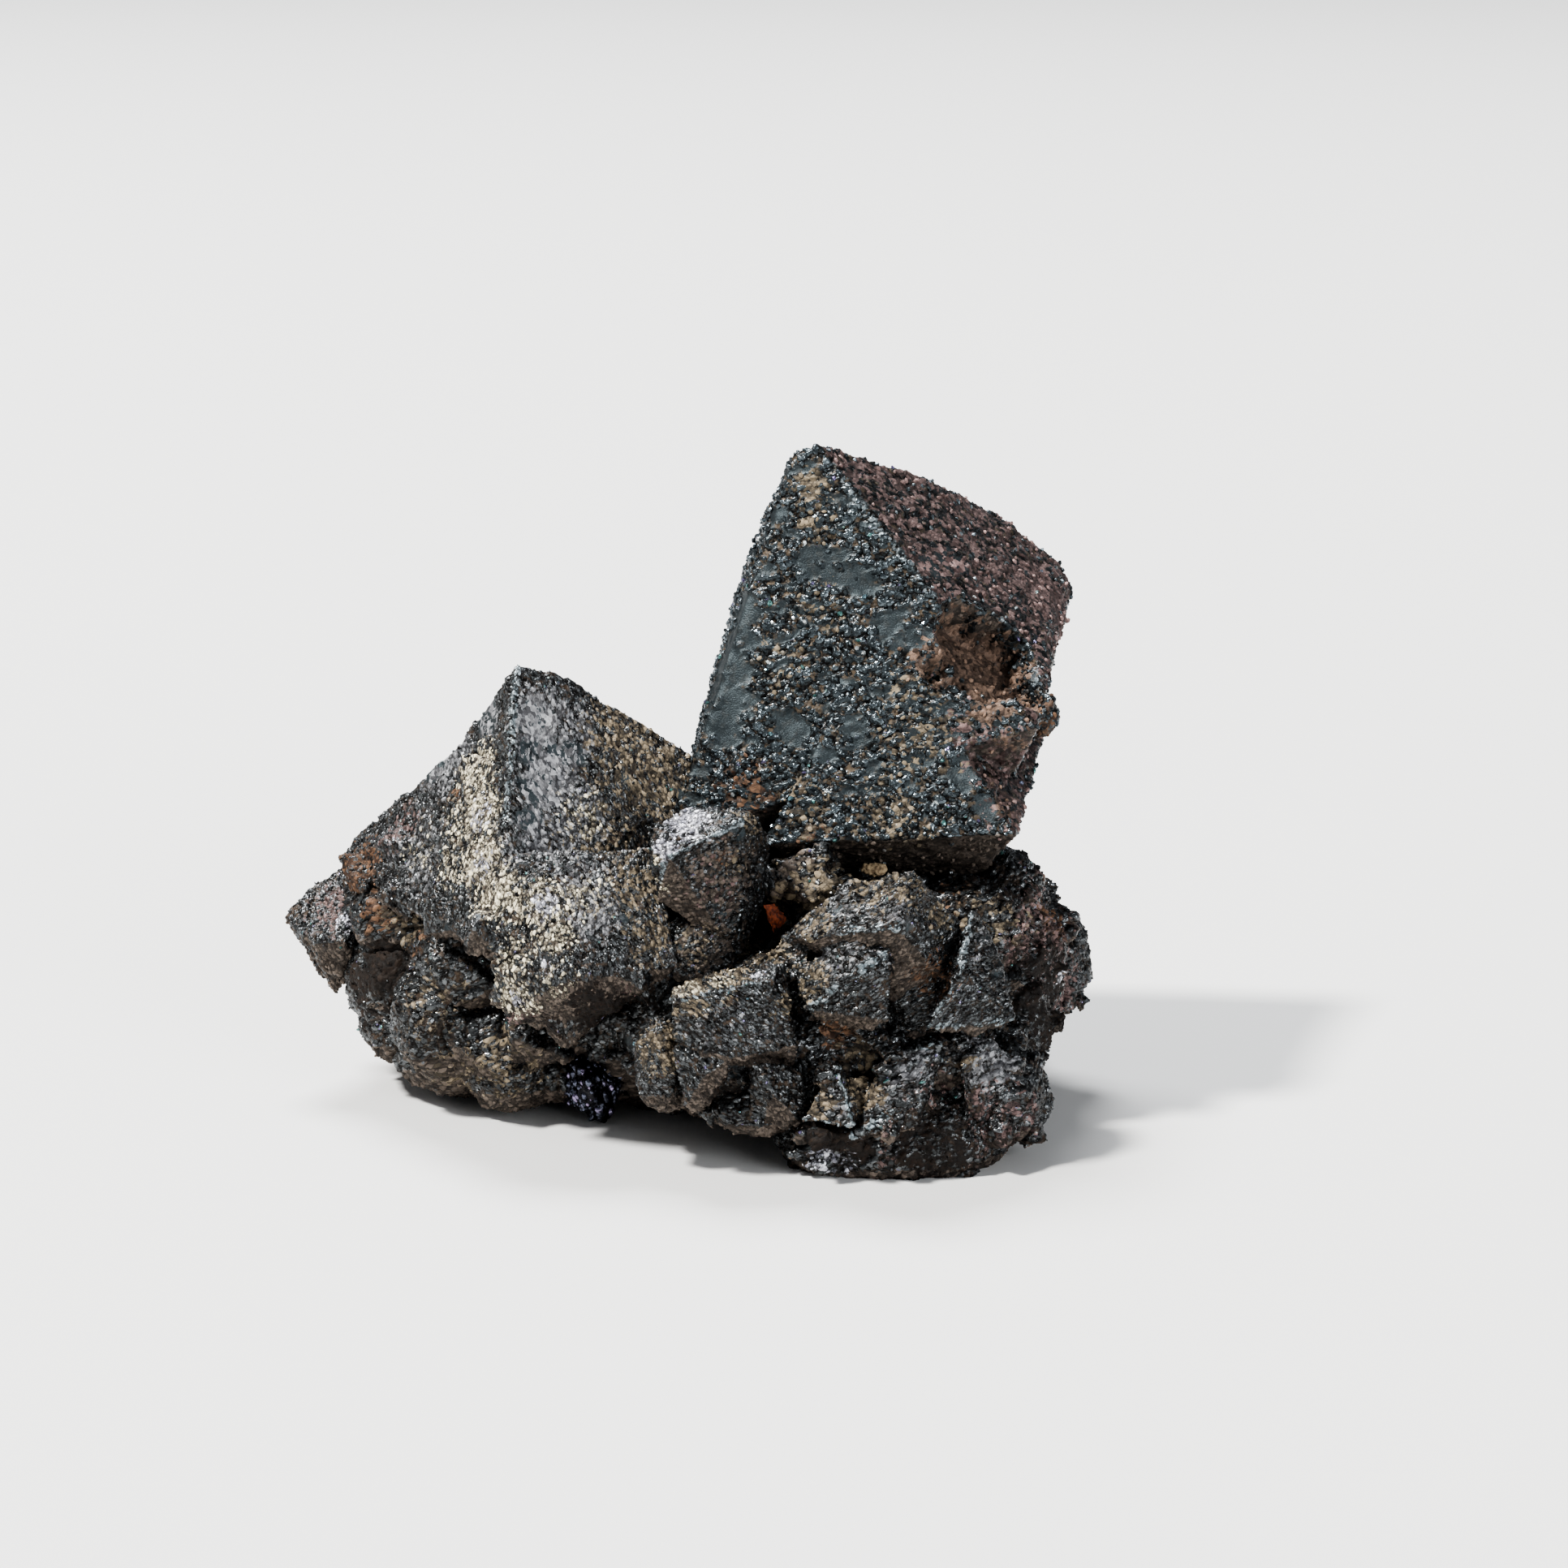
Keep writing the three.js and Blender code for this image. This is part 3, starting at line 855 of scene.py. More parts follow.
largeCrystal = {
    "growths": {
        "large_crystal": {
            "top": (9.0, 2.5, 45.0), "topLeft": (7.3, 2.8, 44.3), "leftShoulder": (4.2, 3.2, 37.0),
            "left": (-1.0, -5.8, 19.8), "front": (23.5, -7.7, 27.7), "topShoulder": (16.1, 7.8, 41.9),
            "rightShoulder": (21.2, 12.6, 38.6), "rightTop": (25.9, 13.6, 35.0),
            "right": (27.0, 14.0, 33.2), "back": (3.1, 18.0, 29.7), "bottom": (17.0, 10.0, 8.0),
        },
        "largeLower": {
            "top": (13.1, -2.6, 34.0), "left": (5.6, -8.2, 19.8), "front": (22.0, -10.4, 21.0),
            "right": (24.6, 5.0, 24.3), "back": (6.0, 15.0, 19.0), "bottom": (16.5, 9.0, 8.0),
        },
    },
    "lumps": [((23.9, -4.0, 27.7), (1.1, 1.1, 1.6))],
    "voxel": 0.15,
    "easing": 5,
    "pitDepth": 3.1,
    "pitWay": (-0.45, 0.6, -0.66),
    "pit": [
        (19.5, -3.2, 33.2, 3.4, 1.0), (21.7, -2.0, 32.0, 3.4, 1.0), (20.6, -5.0, 31.0, 3.2, 0.9),
        (22.6, -4.6, 29.8, 2.8, 0.8), (17.6, -4.9, 31.0, 2.2, 0.5),
    ],
    "etched": [
        (19.0, -3.4, 33.6, 2.6, 1.0), (16.4, -4.6, 31.6, 2.4, 0.55), (20.6, -6.4, 28.8, 2.6, 0.6),
        (21.8, -6.2, 26.8, 2.4, 0.5), (22.4, -7.6, 24.4, 2.6, 0.45), (21.2, -8.8, 22.6, 2.0, 0.35),
    ],
    "look": defaultLook | {
        "drawn": (0.9, 0.9, 1.25),
        "bead": 0.46,
        "bareFrom": 0.6,
        "patch": 0.5,
        "rowShare": 0.08,
        "plateRise": 0.06,
    },
    # painted highlights along the ridges
    "highlightedEdges": [
        ((9.6, 1.8, 44.0), (16.6, -3.0, 35.8), 0.6, 0.5),
        ((5.9, -7.9, 22.3), (5.6, -8.2, 20.0), 0.6, 0.8),
        ((21.9, 0.6, 33.6), (24.0, -3.4, 29.4), 0.9, 0.55),
    ],
    "stains": {
        "bare": [
            (4.0, -0.6, 34.2, 1.5, 0.9), (3.3, -1.6, 32.0, 2.0, 0.95), (3.0, -2.4, 30.2, 2.1, 1.0),
            (2.8, -3.1, 28.4, 2.2, 1.0), (2.3, -3.7, 26.6, 1.9, 0.9), (5.9, 1.2, 40.4, 1.2, 0.8),
            (8.6, -0.7, 37.4, 1.6, 0.9), (10.2, -1.0, 37.0, 1.7, 0.95), (11.9, -1.5, 36.3, 1.4, 0.85),
            (13.7, -3.3, 33.4, 1.5, 0.85), (15.6, -3.6, 33.0, 1.1, 0.7), (18.4, 1.6, 37.4, 2.6, 0.9),
            (16.3, -0.9, 37.3, 1.8, 0.8), (7.2, -4.9, 27.0, 1.4, 0.8), (11.4, -5.6, 27.4, 1.2, 0.7),
            (18.6, -8.2, 24.6, 1.3, 0.7), (20.2, -9.2, 22.4, 1.2, 0.7),
        ],
        "maroon": [
            (24.5, 8.0, 33.5, 6.0, 0.9), (19.6, -7.0, 27.0, 3.6, 0.5), (21.6, -6.2, 25.2, 4.2, 0.65),
            (22.0, -8.5, 22.5, 3.0, 0.6),
        ],
        "rust": [(4.2, -5.6, 22.6, 3.0, 0.45), (8.3, -7.6, 21.0, 2.6, 0.4), (23.6, -4.4, 27.4, 2.4, 0.7)],
        "dust": [
            (8.5, 1.4, 42.2, 1.8, 0.75), (8.8, 0.6, 40.2, 2.4, 0.45), (9.0, -2.0, 34.8, 2.4, 0.42),
            (6.4, -3.2, 31.0, 2.8, 0.34), (15.4, -5.2, 29.6, 2.6, 0.4), (15.8, -7.0, 26.0, 4.0, 0.38),
            (13.9, -8.6, 21.9, 4.0, 0.42), (8.0, -7.6, 22.0, 3.0, 0.42),
        ],
    },
    "facing": {
        "maroon": [(rightFace, 0.55, 0.9, 0.6)],
        "fine": [(rightFace, 0.6, 0.85, 0.8), (down, 0.3, 0.5, 0.8)],
        "dull": [shadedUnderside],
    },
}


def grownTogether(name, made):
    parts = [growth(label, corners) for label, corners in made.get("growths", {}).items()]
    parts += [lump(name, *one) for one in made.get("lumps", [])]
    parts += [octahedron(name + "Crystal", *one) for one in made.get("crystals", [])]
    return runTogether(name, parts, made["voxel"], made.get("easing", 2))


def stainAll(piece, made):
    spots = made["stains"]
    facing = made.get("facing", {"dull": [shadedUnderside]})
    # the lines along a piece's ridges paint a highlight on them
    lines = {"edge": made.get("highlightedEdges", [])}
    for label in sorted({*spots, *facing, *lines}):
        stain(piece, label, spots.get(label, ()), facing.get(label, ()), lines.get(label, ()))


def makeLargeCrystal(made):
    piece = grownTogether("large_crystal", made)
    stain(piece, "pit", made["pit"])
    stain(piece, "etched", made["pit"] + made["etched"])
    hollowOut(piece, made["pitWay"], made["pitDepth"])
    stainAll(piece, made)
    raiseRelief(piece, made["look"])
    thin(piece)
    finished(piece, crystalFinish)
    sprinkle(piece, spacing=0.5, seed=11, material=grainFinish)


makeLargeCrystal(largeCrystal)


# the other crystals and the matrix are finer grained

fineLook = defaultLook | {
    "drawn": (1.25, 1.25, 0.75),
    "bead": 0.31,
    "patch": 0.4,
    "beadRise": 0.18,
    "gritRise": 0.07,
    "ledgeRise": 0.06,
    "bareFrom": 0.64,
    "block": 1.6,
    "blockRise": 0.06,
    "plateRise": 0.16,
}


def makePiece(name, made, seed, spacing=0.75):
    piece = grownTogether(name, made)
    if "studs" in made:
        stud(piece, *made["studs"], seed, made["voxel"])
    stainAll(piece, made)
    raiseRelief(piece, made["look"])
    trimFlat(piece)
    thin(piece)
    finished(piece, fineFinish)
    sprinkle(piece, spacing, seed, fineGrainFinish, size=0.6)


# the left-hand crystal: a slim upper growth, a broad layer on its left and a swollen foot

leftCrystal = {
    "growths": {
        "leftUpper": {
            "top": (-11.2, -4.5, 31.2), "topRight": (-8.3, -3.5, 30.3), "left": (-17.8, 0.5, 21.3),
            "front": (-12.1, -13.0, 15.0), "right": (6.6, -3.0, 20.5), "back": (-5.0, 13.0, 20.0),
            "bottom": (-5.5, 4.0, 3.0),
        },
        "leftLayer": {
            "top": (-15.5, -2.7, 25.1), "frontTop": (-11.5, -7.4, 24.7), "left": (-23.6, 3.4, 16.7),
            "leftLow": (-24.2, 3.0, 15.8), "ledge": (-18.7, -5.0, 15.2), "ledgeLow": (-16.5, -8.5, 14.3),
            "front": (-11.8, -14.2, 13.8), "right": (-5.0, 3.0, 15.0), "back": (-9.0, 12.0, 14.0),
            "bottom": (-8.0, 3.0, 4.0),
        },
        "leftFoot": {
            "topLeft": (-11.4, -10.8, 19.9), "topRight": (-2.2, -11.0, 20.3),
            "right": (-0.2, -14.0, 13.2), "rightLow": (-4.3, -13.4, 9.8), "front": (-7.9, -15.8, 12.4),
            "left": (-12.6, -13.5, 12.6), "leftLow": (-11.5, -12.4, 8.6), "back": (-6.0, 6.0, 5.0),
        },
    },
    "crystals": [
        ((-4.0, -11.8, 13.4), (4.2, 4.0, 4.2), (25, 12, 30)),
        ((-7.6, -10.6, 10.0), (4.6, 4.4, 3.6), (-12, 18, 50)),
        ((-10.2, -11.6, 11.0), (2.9, 2.9, 3.6), (10, -14, 20)),
        ((-1.6, -11.4, 11.0), (2.6, 2.8, 2.6), (35, 25, 10)),
        ((-22.0, 1.0, 15.4), (2.3, 2.4, 2.0), (20, 35, 10)),
        ((-19.2, -3.0, 14.9), (2.2, 1.9, 2.0), (55, 10, 40)),
        ((-15.9, -7.6, 14.6), (2.3, 2.2, 2.0), (15, 50, 25)),
        ((-12.9, -11.9, 14.8), (2.1, 2.0, 2.1), (40, 25, 60)),
        ((-19.6, -1.6, 18.0), (1.9, 1.9, 2.0), (70, 15, 20)),
    ],
    "voxel": 0.14,
    "look": fineLook | {"bead": 0.28, "swell": 0.45},
    "highlightedEdges": [((-11.2, -4.7, 31.0), (-11.9, -9.6, 21.5), 0.5, 0.65)],
    "stains": {
        "dull": [(-5.0, -13.0, 9.2, 3.4, 0.8)],
        "bare": [
            (-10.0, -5.8, 27.6, 1.8, 0.9), (-9.8, -7.0, 26.0, 2.0, 1.0), (-9.4, -7.9, 24.0, 1.9, 0.9),
            (-10.4, -9.0, 21.6, 1.4, 0.8), (-7.4, -6.2, 25.8, 1.5, 0.7), (-13.4, -3.2, 27.4, 1.9, 0.9),
            (-16.5, -1.0, 23.6, 2.4, 0.8),
        ],
        "pale": [
            (-8.6, -7.7, 24.1, 3.6, 0.85), (-9.4, -6.0, 28.0, 3.2, 0.85), (-7.2, -5.3, 26.9, 3.2, 0.7),
            (-8.6, -9.4, 20.6, 4.0, 0.75), (-3.4, -4.6, 25.2, 4.4, 0.4), (-6.4, -8.4, 21.6, 3.6, 0.85),
            (-13.2, -3.4, 27.4, 2.4, 0.55), (-6.4, -12.8, 17.2, 4.0, 0.7), (-16.0, -2.0, 24.0, 4.0, 0.7),
            (-18.0, -4.0, 18.5, 4.5, 0.6), (-12.6, -10.0, 19.0, 4.0, 0.5),
        ],
        "cream": [
            (-13.9, -5.2, 24.2, 2.8, 0.75), (-13.6, -7.2, 21.6, 2.8, 1.0), (-14.6, -6.2, 21.0, 3.0, 0.6),
            (-13.4, -9.0, 18.9, 2.8, 1.0), (-12.2, -11.4, 17.2, 2.8, 0.9), (-15.4, -7.2, 18.2, 2.6, 0.55),
            (-9.2, -13.1, 17.0, 2.6, 0.85), (-8.4, -13.6, 15.0, 2.2, 0.7), (-11.0, -13.7, 13.4, 2.2, 0.6),
            (-10.9, -13.7, 10.8, 2.4, 0.85), (-18.0, -4.0, 18.6, 2.6, 0.4),
            (-6.2, -12.9, 17.6, 2.4, 0.45), (-6.6, -8.2, 21.8, 2.8, 0.48), (-8.4, -15.0, 12.4, 2.2, 0.5),
        ],
        "dust": [
            (-2.4, -4.0, 25.5, 5.0, 0.6), (-4.5, -4.2, 26.7, 4.0, 0.5), (-1.3, -4.6, 23.4, 5.0, 0.66),
            (-5.5, -8.0, 20.8, 4.4, 0.5), (-4.0, -5.3, 24.1, 4.0, 0.5), (-3.0, -12.5, 18.0, 3.0, 0.6),
            (-2.2, -13.0, 15.0, 3.0, 0.45),
        ],
        "rust": [
            (-22.7, 0.7, 15.5, 2.8, 0.7), (-21.8, 0.1, 16.5, 2.4, 0.6), (-15.6, -5.0, 22.4, 1.4, 0.6),
            (-15.0, -5.6, 20.6, 1.2, 0.6),
        ],
        "maroon": [
            (-10.5, -13.2, 9.0, 2.2, 0.7), (-4.0, -13.4, 10.0, 3.0, 0.6), (-19.5, -2.0, 19.4, 2.4, 0.5),
        ],
        # painted shade low on the foot and under it
        "earth": [
            (-6.2, -14.4, 11.0, 2.4, 0.7), (-5.0, -13.6, 9.2, 3.4, 0.95), (-9.4, -13.2, 8.2, 2.4, 0.7),
            (-2.4, -12.8, 10.2, 2.2, 0.5),
        ],
        "bright": [
            (-9.0, -13.2, 17.2, 1.6, 0.7), (-8.7, -14.4, 13.2, 1.0, 0.7), (-10.9, -13.8, 10.6, 1.1, 0.7),
            (-13.4, -7.4, 21.4, 2.0, 0.5), (-13.2, -9.2, 18.6, 1.6, 0.5),
        ],
    },
}

makePiece("left_crystal", leftCrystal, seed=21)


# the small crystal with the bright top face, between the two

centreCrystal = {
    "growths": {
        "centre": {
            "topLeft": (-1.7, -12.7, 22.3), "left": (-2.2, -13.6, 21.1), "top": (0.5, -10.8, 23.1),
            "topRight": (4.4, -9.8, 22.4), "right": (5.7, -9.6, 20.8), "frontTop": (-0.8, -15.2, 20.8),
            "frontRight": (4.0, -13.2, 22.7), "bottom": (3.7, -12.6, 13.4),
            "leftLow": (-1.7, -13.2, 17.5), "rightLow": (5.3, -10.0, 15.7), "back": (1.6, -3.0, 16.4),
        },
    },
    "easing": 1,
    "lumps": [((0.9, -11.6, 13.4), (2.6, 2.2, 2.6))],
    "voxel": 0.11,
    "look": fineLook | {
        "drawn": (1.0, 1.0, 1.2),
        "bead": 0.3,
        "beadRise": 0.12,
        "ledgeRise": 0.08,
        "swell": 0.06,
        "blockRise": 0.06,
    },
    "highlightedEdges": [
        ((-0.9, -14.9, 21.2), (-1.7, -13.9, 17.8), 0.35, 0.95),
        ((-0.8, -15.2, 20.8), (4.0, -13.2, 22.7), 0.35, 0.8),
        ((4.0, -13.2, 22.7), (3.7, -12.6, 13.4), 0.35, 0.3),
    ],
    "stains": {
        "dull": [(2.6, -13.6, 19.0, 5.0, 0.55), (1.5, -13.0, 14.0, 4.0, 0.5)],
        # the top face is painted near-white: a painted sheen
        "bright": [(0.4, -12.6, 22.6, 2.6, 0.78), (-1.2, -14.4, 21.2, 1.3, 0.8)],
        "cream": [(-1.5, -14.2, 20.5, 1.0, 0.7), (-1.6, -13.6, 18.4, 1.0, 0.5)],
        "dust": [
            (4.4, -11.5, 22.4, 2.0, 0.6), (3.6, -13.0, 19.8, 1.2, 0.5), (1.0, -13.8, 14.5, 2.2, 0.4),
        ],
        "maroon": [(2.2, -13.8, 19.0, 3.6, 0.25)],
        "rust": [(3.2, -13.6, 20.0, 1.4, 0.4)],
    },
}

makePiece("centre_crystal", centreCrystal, seed=31)


# the front cluster of three growths

frontLook = fineLook | {
    "drawn": (0.75, 0.9, 1.35),
    "bead": 0.27,
    "beadRise": 0.12,
    "ledgeRise": 0.26,
    "ledgeStep": 0.85,
    "lean": 0.5,
    "swell": 0.18,
    "blockRise": 0.2,
}

frontCluster = {
    "growths": {
        "frontUpper": {
            "left": (6.6, -16.0, 15.9), "topLeft": (10.5, -17.2, 19.4), "top": (14.9, -17.6, 20.4),
            "topRight": (16.3, -17.0, 18.3), "right": (18.1, -15.6, 16.3), "front": (13.9, -19.9, 17.3),
            "frontLeft": (7.8, -18.0, 16.0), "low": (17.6, -15.4, 12.2), "lowLeft": (13.8, -16.6, 11.7),
            "back": (17.2, -8.0, 15.3), "backLow": (10.0, -12.0, 10.0),
        },
        "frontStep": {
            "topLeft": (7.2, -17.0, 13.9), "top": (10.5, -18.6, 15.9), "topRight": (13.5, -19.4, 15.6),
            "ridge": (11.6, -20.1, 14.6), "nose": (13.4, -19.9, 11.1), "lowLeft": (8.3, -18.9, 11.5),
            "low": (10.3, -16.0, 9.1), "left": (7.5, -17.6, 12.2), "back": (13.0, -12.0, 12.0),
        },
        "frontRight": {
            "top": (18.8, -15.6, 17.2), "edge": (18.0, -18.4, 13.9), "lowLeft": (15.9, -18.6, 10.2),
            "lowRight": (21.7, -16.6, 10.1), "right": (20.5, -15.0, 14.9), "low": (18.9, -17.0, 9.2),
            "topBack": (19.3, -12.0, 16.2), "back": (19.3, -10.0, 12.5),
        },
        "flankLeft": {
            "topRight": (8.4, -15.4, 16.6), "top": (6.6, -14.2, 15.2), "left": (4.8, -14.4, 12.4),
            "frontLow": (5.4, -15.6, 11.6), "front": (8.2, -17.2, 13.6), "backLow": (5.6, -12.2, 11.8),
            "back": (8.2, -12.4, 14.8),
        },
        "sliver": {
            "left": (11.0, -17.2, 9.9), "right": (13.7, -19.0, 8.0), "rightTop": (14.3, -18.5, 8.5),
            "leftTop": (11.9, -16.4, 10.3), "back": (13.4, -14.5, 7.2),
        },
    },
    "lumps": [
        ((15.6, -13.4, 11.4), (4.4, 3.2, 4.4)), ((9.4, -13.4, 11.8), (3.2, 2.8, 3.8)),
        ((5.8, -13.0, 11.6), (2.4, 1.9, 2.1)),
    ],
    "voxel": 0.115,
    "look": frontLook,
    "highlightedEdges": [
        ((8.3, -18.9, 11.5), (11.6, -20.1, 14.6), 0.5, 0.6),
        ((11.6, -20.1, 14.6), (13.5, -19.4, 15.6), 0.5, 0.6),
        ((10.5, -18.8, 16.8), (14.2, -19.9, 17.3), 0.5, 0.5),
        ((18.8, -15.8, 17.0), (18.0, -18.4, 13.9), 0.5, 0.8),
        ((18.0, -18.4, 13.9), (15.9, -18.6, 10.2), 0.4, 0.4),
        ((15.9, -18.6, 10.2), (21.7, -16.6, 10.1), 0.4, 0.5),
    ],
    "stains": {
        "pale": [
            (9.0, -17.6, 17.2, 2.6, 0.4), (11.0, -18.2, 18.6, 2.8, 0.45), (13.6, -18.9, 18.8, 2.4, 0.45),
            (9.4, -18.6, 14.4, 2.4, 0.5), (11.6, -19.6, 15.2, 2.0, 0.4), (18.8, -16.6, 15.6, 2.0, 0.4),
        ],
        "dust": [
            (12.4, -17.8, 19.6, 2.8, 0.5), (15.0, -17.8, 19.4, 2.2, 0.5), (8.6, -17.2, 17.0, 2.2, 0.6),
            (8.6, -18.2, 13.2, 2.4, 0.6), (16.8, -16.8, 17.2, 1.8, 0.6), (5.6, -14.8, 13.6, 2.6, 0.65),
        ],
        "maroon": [(8.6, -17.4, 16.6, 1.6, 0.5)],
        "rust": [(16.4, -17.2, 13.2, 2.4, 0.55), (9.9, -17.0, 9.6, 1.8, 0.7)],
    },
}

makePiece("front_cluster", frontCluster, seed=41)


# the crystal at the left front

leftFrontCrystal = {
    "growths": {
        "leftFrontUpper": {
            "leftTop": (-0.6, -17.8, 12.7), "top": (1.9, -16.8, 13.4), "topRight": (6.6, -16.4, 13.9),
            "frontLeft": (-0.5, -19.2, 12.3), "frontRight": (6.0, -18.4, 13.5),
            "right": (7.5, -18.4, 9.0), "ridge": (3.3, -20.1, 8.5), "left": (-0.2, -18.8, 9.2),
            "rightLow": (7.6, -16.5, 6.0), "leftLow": (0.2, -16.5, 6.5), "back": (3.1, -10.0, 9.1),
        },
        "leftFrontLowLeft": {
            "top": (-0.4, -18.8, 8.9), "right": (3.3, -19.5, 8.4), "front": (1.5, -19.8, 7.3),
            "low": (0.2, -18.6, 4.8), "lowRight": (1.3, -17.4, 3.9), "back": (2.4, -14.0, 5.0),
        },
        "leftFrontLowRight": {
            "top": (4.7, -19.5, 8.2), "right": (7.8, -18.2, 7.3), "front": (6.0, -20.1, 6.3),
            "lowRight": (7.8, -18.6, 3.8), "low": (5.2, -18.0, 3.0), "left": (4.5, -18.6, 5.8),
            "back": (6.0, -14.0, 5.0),
        },
    },
    "lumps": [
        ((3.4, -15.2, 6.2), (3.0, 2.0, 2.9)), ((-1.3, -16.2, 7.0), (1.8, 2.2, 3.2)),
        ((-0.8, -13.4, 6.0), (2.2, 2.2, 3.0)),
    ],
    "voxel": 0.11,
    "look": frontLook | {"lean": -0.6},
    "highlightedEdges": [((-0.5, -19.2, 12.3), (6.0, -18.4, 13.5), 0.45, 0.5)],
    "stains": {
        "dull": [(3.2, -18.0, 5.6, 1.9, 0.8)],
        # painted shade low between the two lower growths
        "earth": [(3.0, -18.2, 5.4, 1.8, 0.9)],
        "cream": [(0.4, -18.4, 12.8, 1.4, 0.7), (2.6, -17.7, 13.4, 1.4, 0.55)],
        "dust": [
            (0.6, -18.4, 12.7, 2.4, 0.75), (3.0, -17.6, 13.6, 2.6, 0.7), (6.6, -18.3, 11.5, 1.6, 0.5),
            (-1.4, -17.6, 8.6, 2.6, 0.7),
        ],
        "pale": [(2.0, -19.4, 11.0, 3.0, 0.2), (5.0, -19.0, 10.6, 2.6, 0.2)],
        "bright": [(4.9, -17.6, 13.7, 0.7, 0.9)],
    },
}

makePiece("left_front_crystal", leftFrontCrystal, seed=51)


# the matrix: rounded lumps, small octahedra and slivers run together and crumbled

crumblyLook = fineLook | {
    "drift": 2.0,
    "drawn": (0.9, 0.9, 1.2),
    "bead": 0.42,
    "gritRise": 0.1,
    "ledgeRise": 0.24,
    "ledgeStep": 0.9,
    "swell": 0.9,
    "block": 2.2,
    "blockRise": 0.3,
    "bareFrom": 0.68,
}

lowerRight = {
    "lumps": [
        ((13.9, -14.3, 1.9), (7.8, 5.1, 3.9)), ((20.0, -13.6, 4.0), (3.9, 4.0, 3.4)),
        ((9.6, -15.6, 1.4), (3.0, 2.6, 2.2)), ((4.6, -16.0, 4.0), (2.8, 2.6, 1.7)),
        ((8.6, -14.4, 6.6), (2.6, 2.8, 4.0)), ((16.8, -14.8, 7.2), (3.4, 2.6, 2.2)),
        ((11.2, -14.6, 8.2), (3.2, 2.2, 3.0)),
    ],
    "growths": {
        "tooth": {
            "top": (10.0, -19.0, 8.2), "lowLeft": (7.7, -19.8, 4.3), "lowRight": (11.3, -20.9, 4.1),
            "backTop": (11.4, -17.6, 6.4), "back": (10.0, -15.0, 4.0),
        },
        "toothBack": {
            "top": (11.5, -17.6, 6.8), "right": (12.9, -18.4, 4.1), "left": (11.0, -19.4, 4.0),
            "rightTop": (13.2, -17.0, 6.2), "back": (11.5, -14.0, 4.0),
        },
        "crest": {
            "low": (11.2, -19.9, 3.3), "mid": (14.0, -19.8, 5.1), "top": (16.9, -17.6, 9.2),
            "topLeft": (13.4, -18.4, 8.0), "right": (17.1, -17.9, 7.6), "lowRight": (15.0, -19.9, 3.8),
            "left": (12.1, -18.6, 5.8), "back": (16.6, -11.0, 6.0), "bottom": (14.5, -15.0, 1.4),
        },
        "block": {
            "topLeft": (17.9, -17.6, 7.8), "top": (20.3, -16.6, 8.9), "right": (22.1, -15.6, 6.9),
            "lowRight": (22.3, -16.4, 4.5), "lowLeft": (18.3, -18.8, 5.5), "low": (19.5, -17.5, 3.0),
            "back": (20.0, -11.0, 6.0),
        },
        "side": {
            "top": (23.4, -13.5, 7.1), "right": (24.7, -13.0, 3.7), "low": (23.3, -14.6, 1.3),
            "lowLeft": (19.9, -17.8, 1.9), "left": (21.1, -16.8, 6.1), "back": (21.0, -9.0, 4.0),
        },
        "lip": {
            "left": (7.4, -19.7, 3.5), "right": (11.8, -19.9, 3.3), "lowRight": (11.7, -19.6, 2.1),
            "lowLeft": (7.0, -19.2, 2.8), "backTop": (9.5, -16.0, 4.5), "back": (10.0, -15.0, 2.8),
        },
        "patch": {
            "left": (7.0, -18.3, 1.5), "right": (11.7, -18.9, 1.4), "low": (8.9, -18.7, 0.1),
            "lowRight": (12.0, -18.4, 0.1), "top": (8.6, -18.2, 2.2), "back": (9.5, -14.0, 1.0),
        },
    },
    "voxel": 0.125,
    "look": crumblyLook | {"swell": 0.5, "blockRise": 0.22, "lean": 0.15},
    "studs": (3.4, 0.8, 1.5),
    "highlightedEdges": [
        ((10.0, -19.0, 8.2), (11.3, -20.9, 4.1), 0.4, 0.8),
        ((7.7, -19.8, 4.3), (11.3, -20.9, 4.1), 0.35, 0.6),
        ((11.2, -19.9, 3.3), (14.0, -19.8, 5.1), 0.5, 0.5),
        ((13.4, -18.4, 8.0), (16.9, -17.6, 9.2), 0.5, 0.5),
        ((16.9, -17.6, 9.2), (17.1, -17.9, 7.6), 0.4, 0.7),
    ],
    "stains": {
        # painted shade along the bottom, by the floor
        "earth": [
            (9.4, -19.6, 2.7, 2.2, 1.0), (11.6, -19.6, 2.3, 1.8, 0.8), (16.6, -19.6, 2.0, 5.6, 0.58),
            (21.0, -18.4, 2.4, 4.0, 0.35),
        ],
        "maroon": [
            (17.9, -19.2, 3.1, 5.5, 0.5), (22.2, -18.0, 3.4, 4.0, 0.5), (14.6, -19.4, 2.5, 4.0, 0.45),
        ],
        "rust": [(12.2, -18.6, 5.2, 1.8, 0.7), (10.6, -16.6, 9.0, 2.4, 0.7)],
        "dust": [
            (8.6, -19.8, 5.4, 1.8, 0.7), (11.6, -16.6, 8.0, 2.0, 0.6), (12.0, -18.4, 5.6, 2.2, 0.8),
            (18.4, -18.0, 7.8, 1.6, 0.4),
        ],
        "pale": [
            (20.2, -17.4, 7.6, 3.0, 0.75), (10.2, -20.0, 5.8, 1.8, 0.5), (14.8, -18.6, 7.8, 2.6, 0.65),
            (13.4, -19.2, 6.0, 2.0, 0.5),
        ],
        "bright": [(9.3, -18.6, 1.2, 1.7, 0.6), (10.9, -18.8, 1.2, 1.4, 0.5)],
    },
}

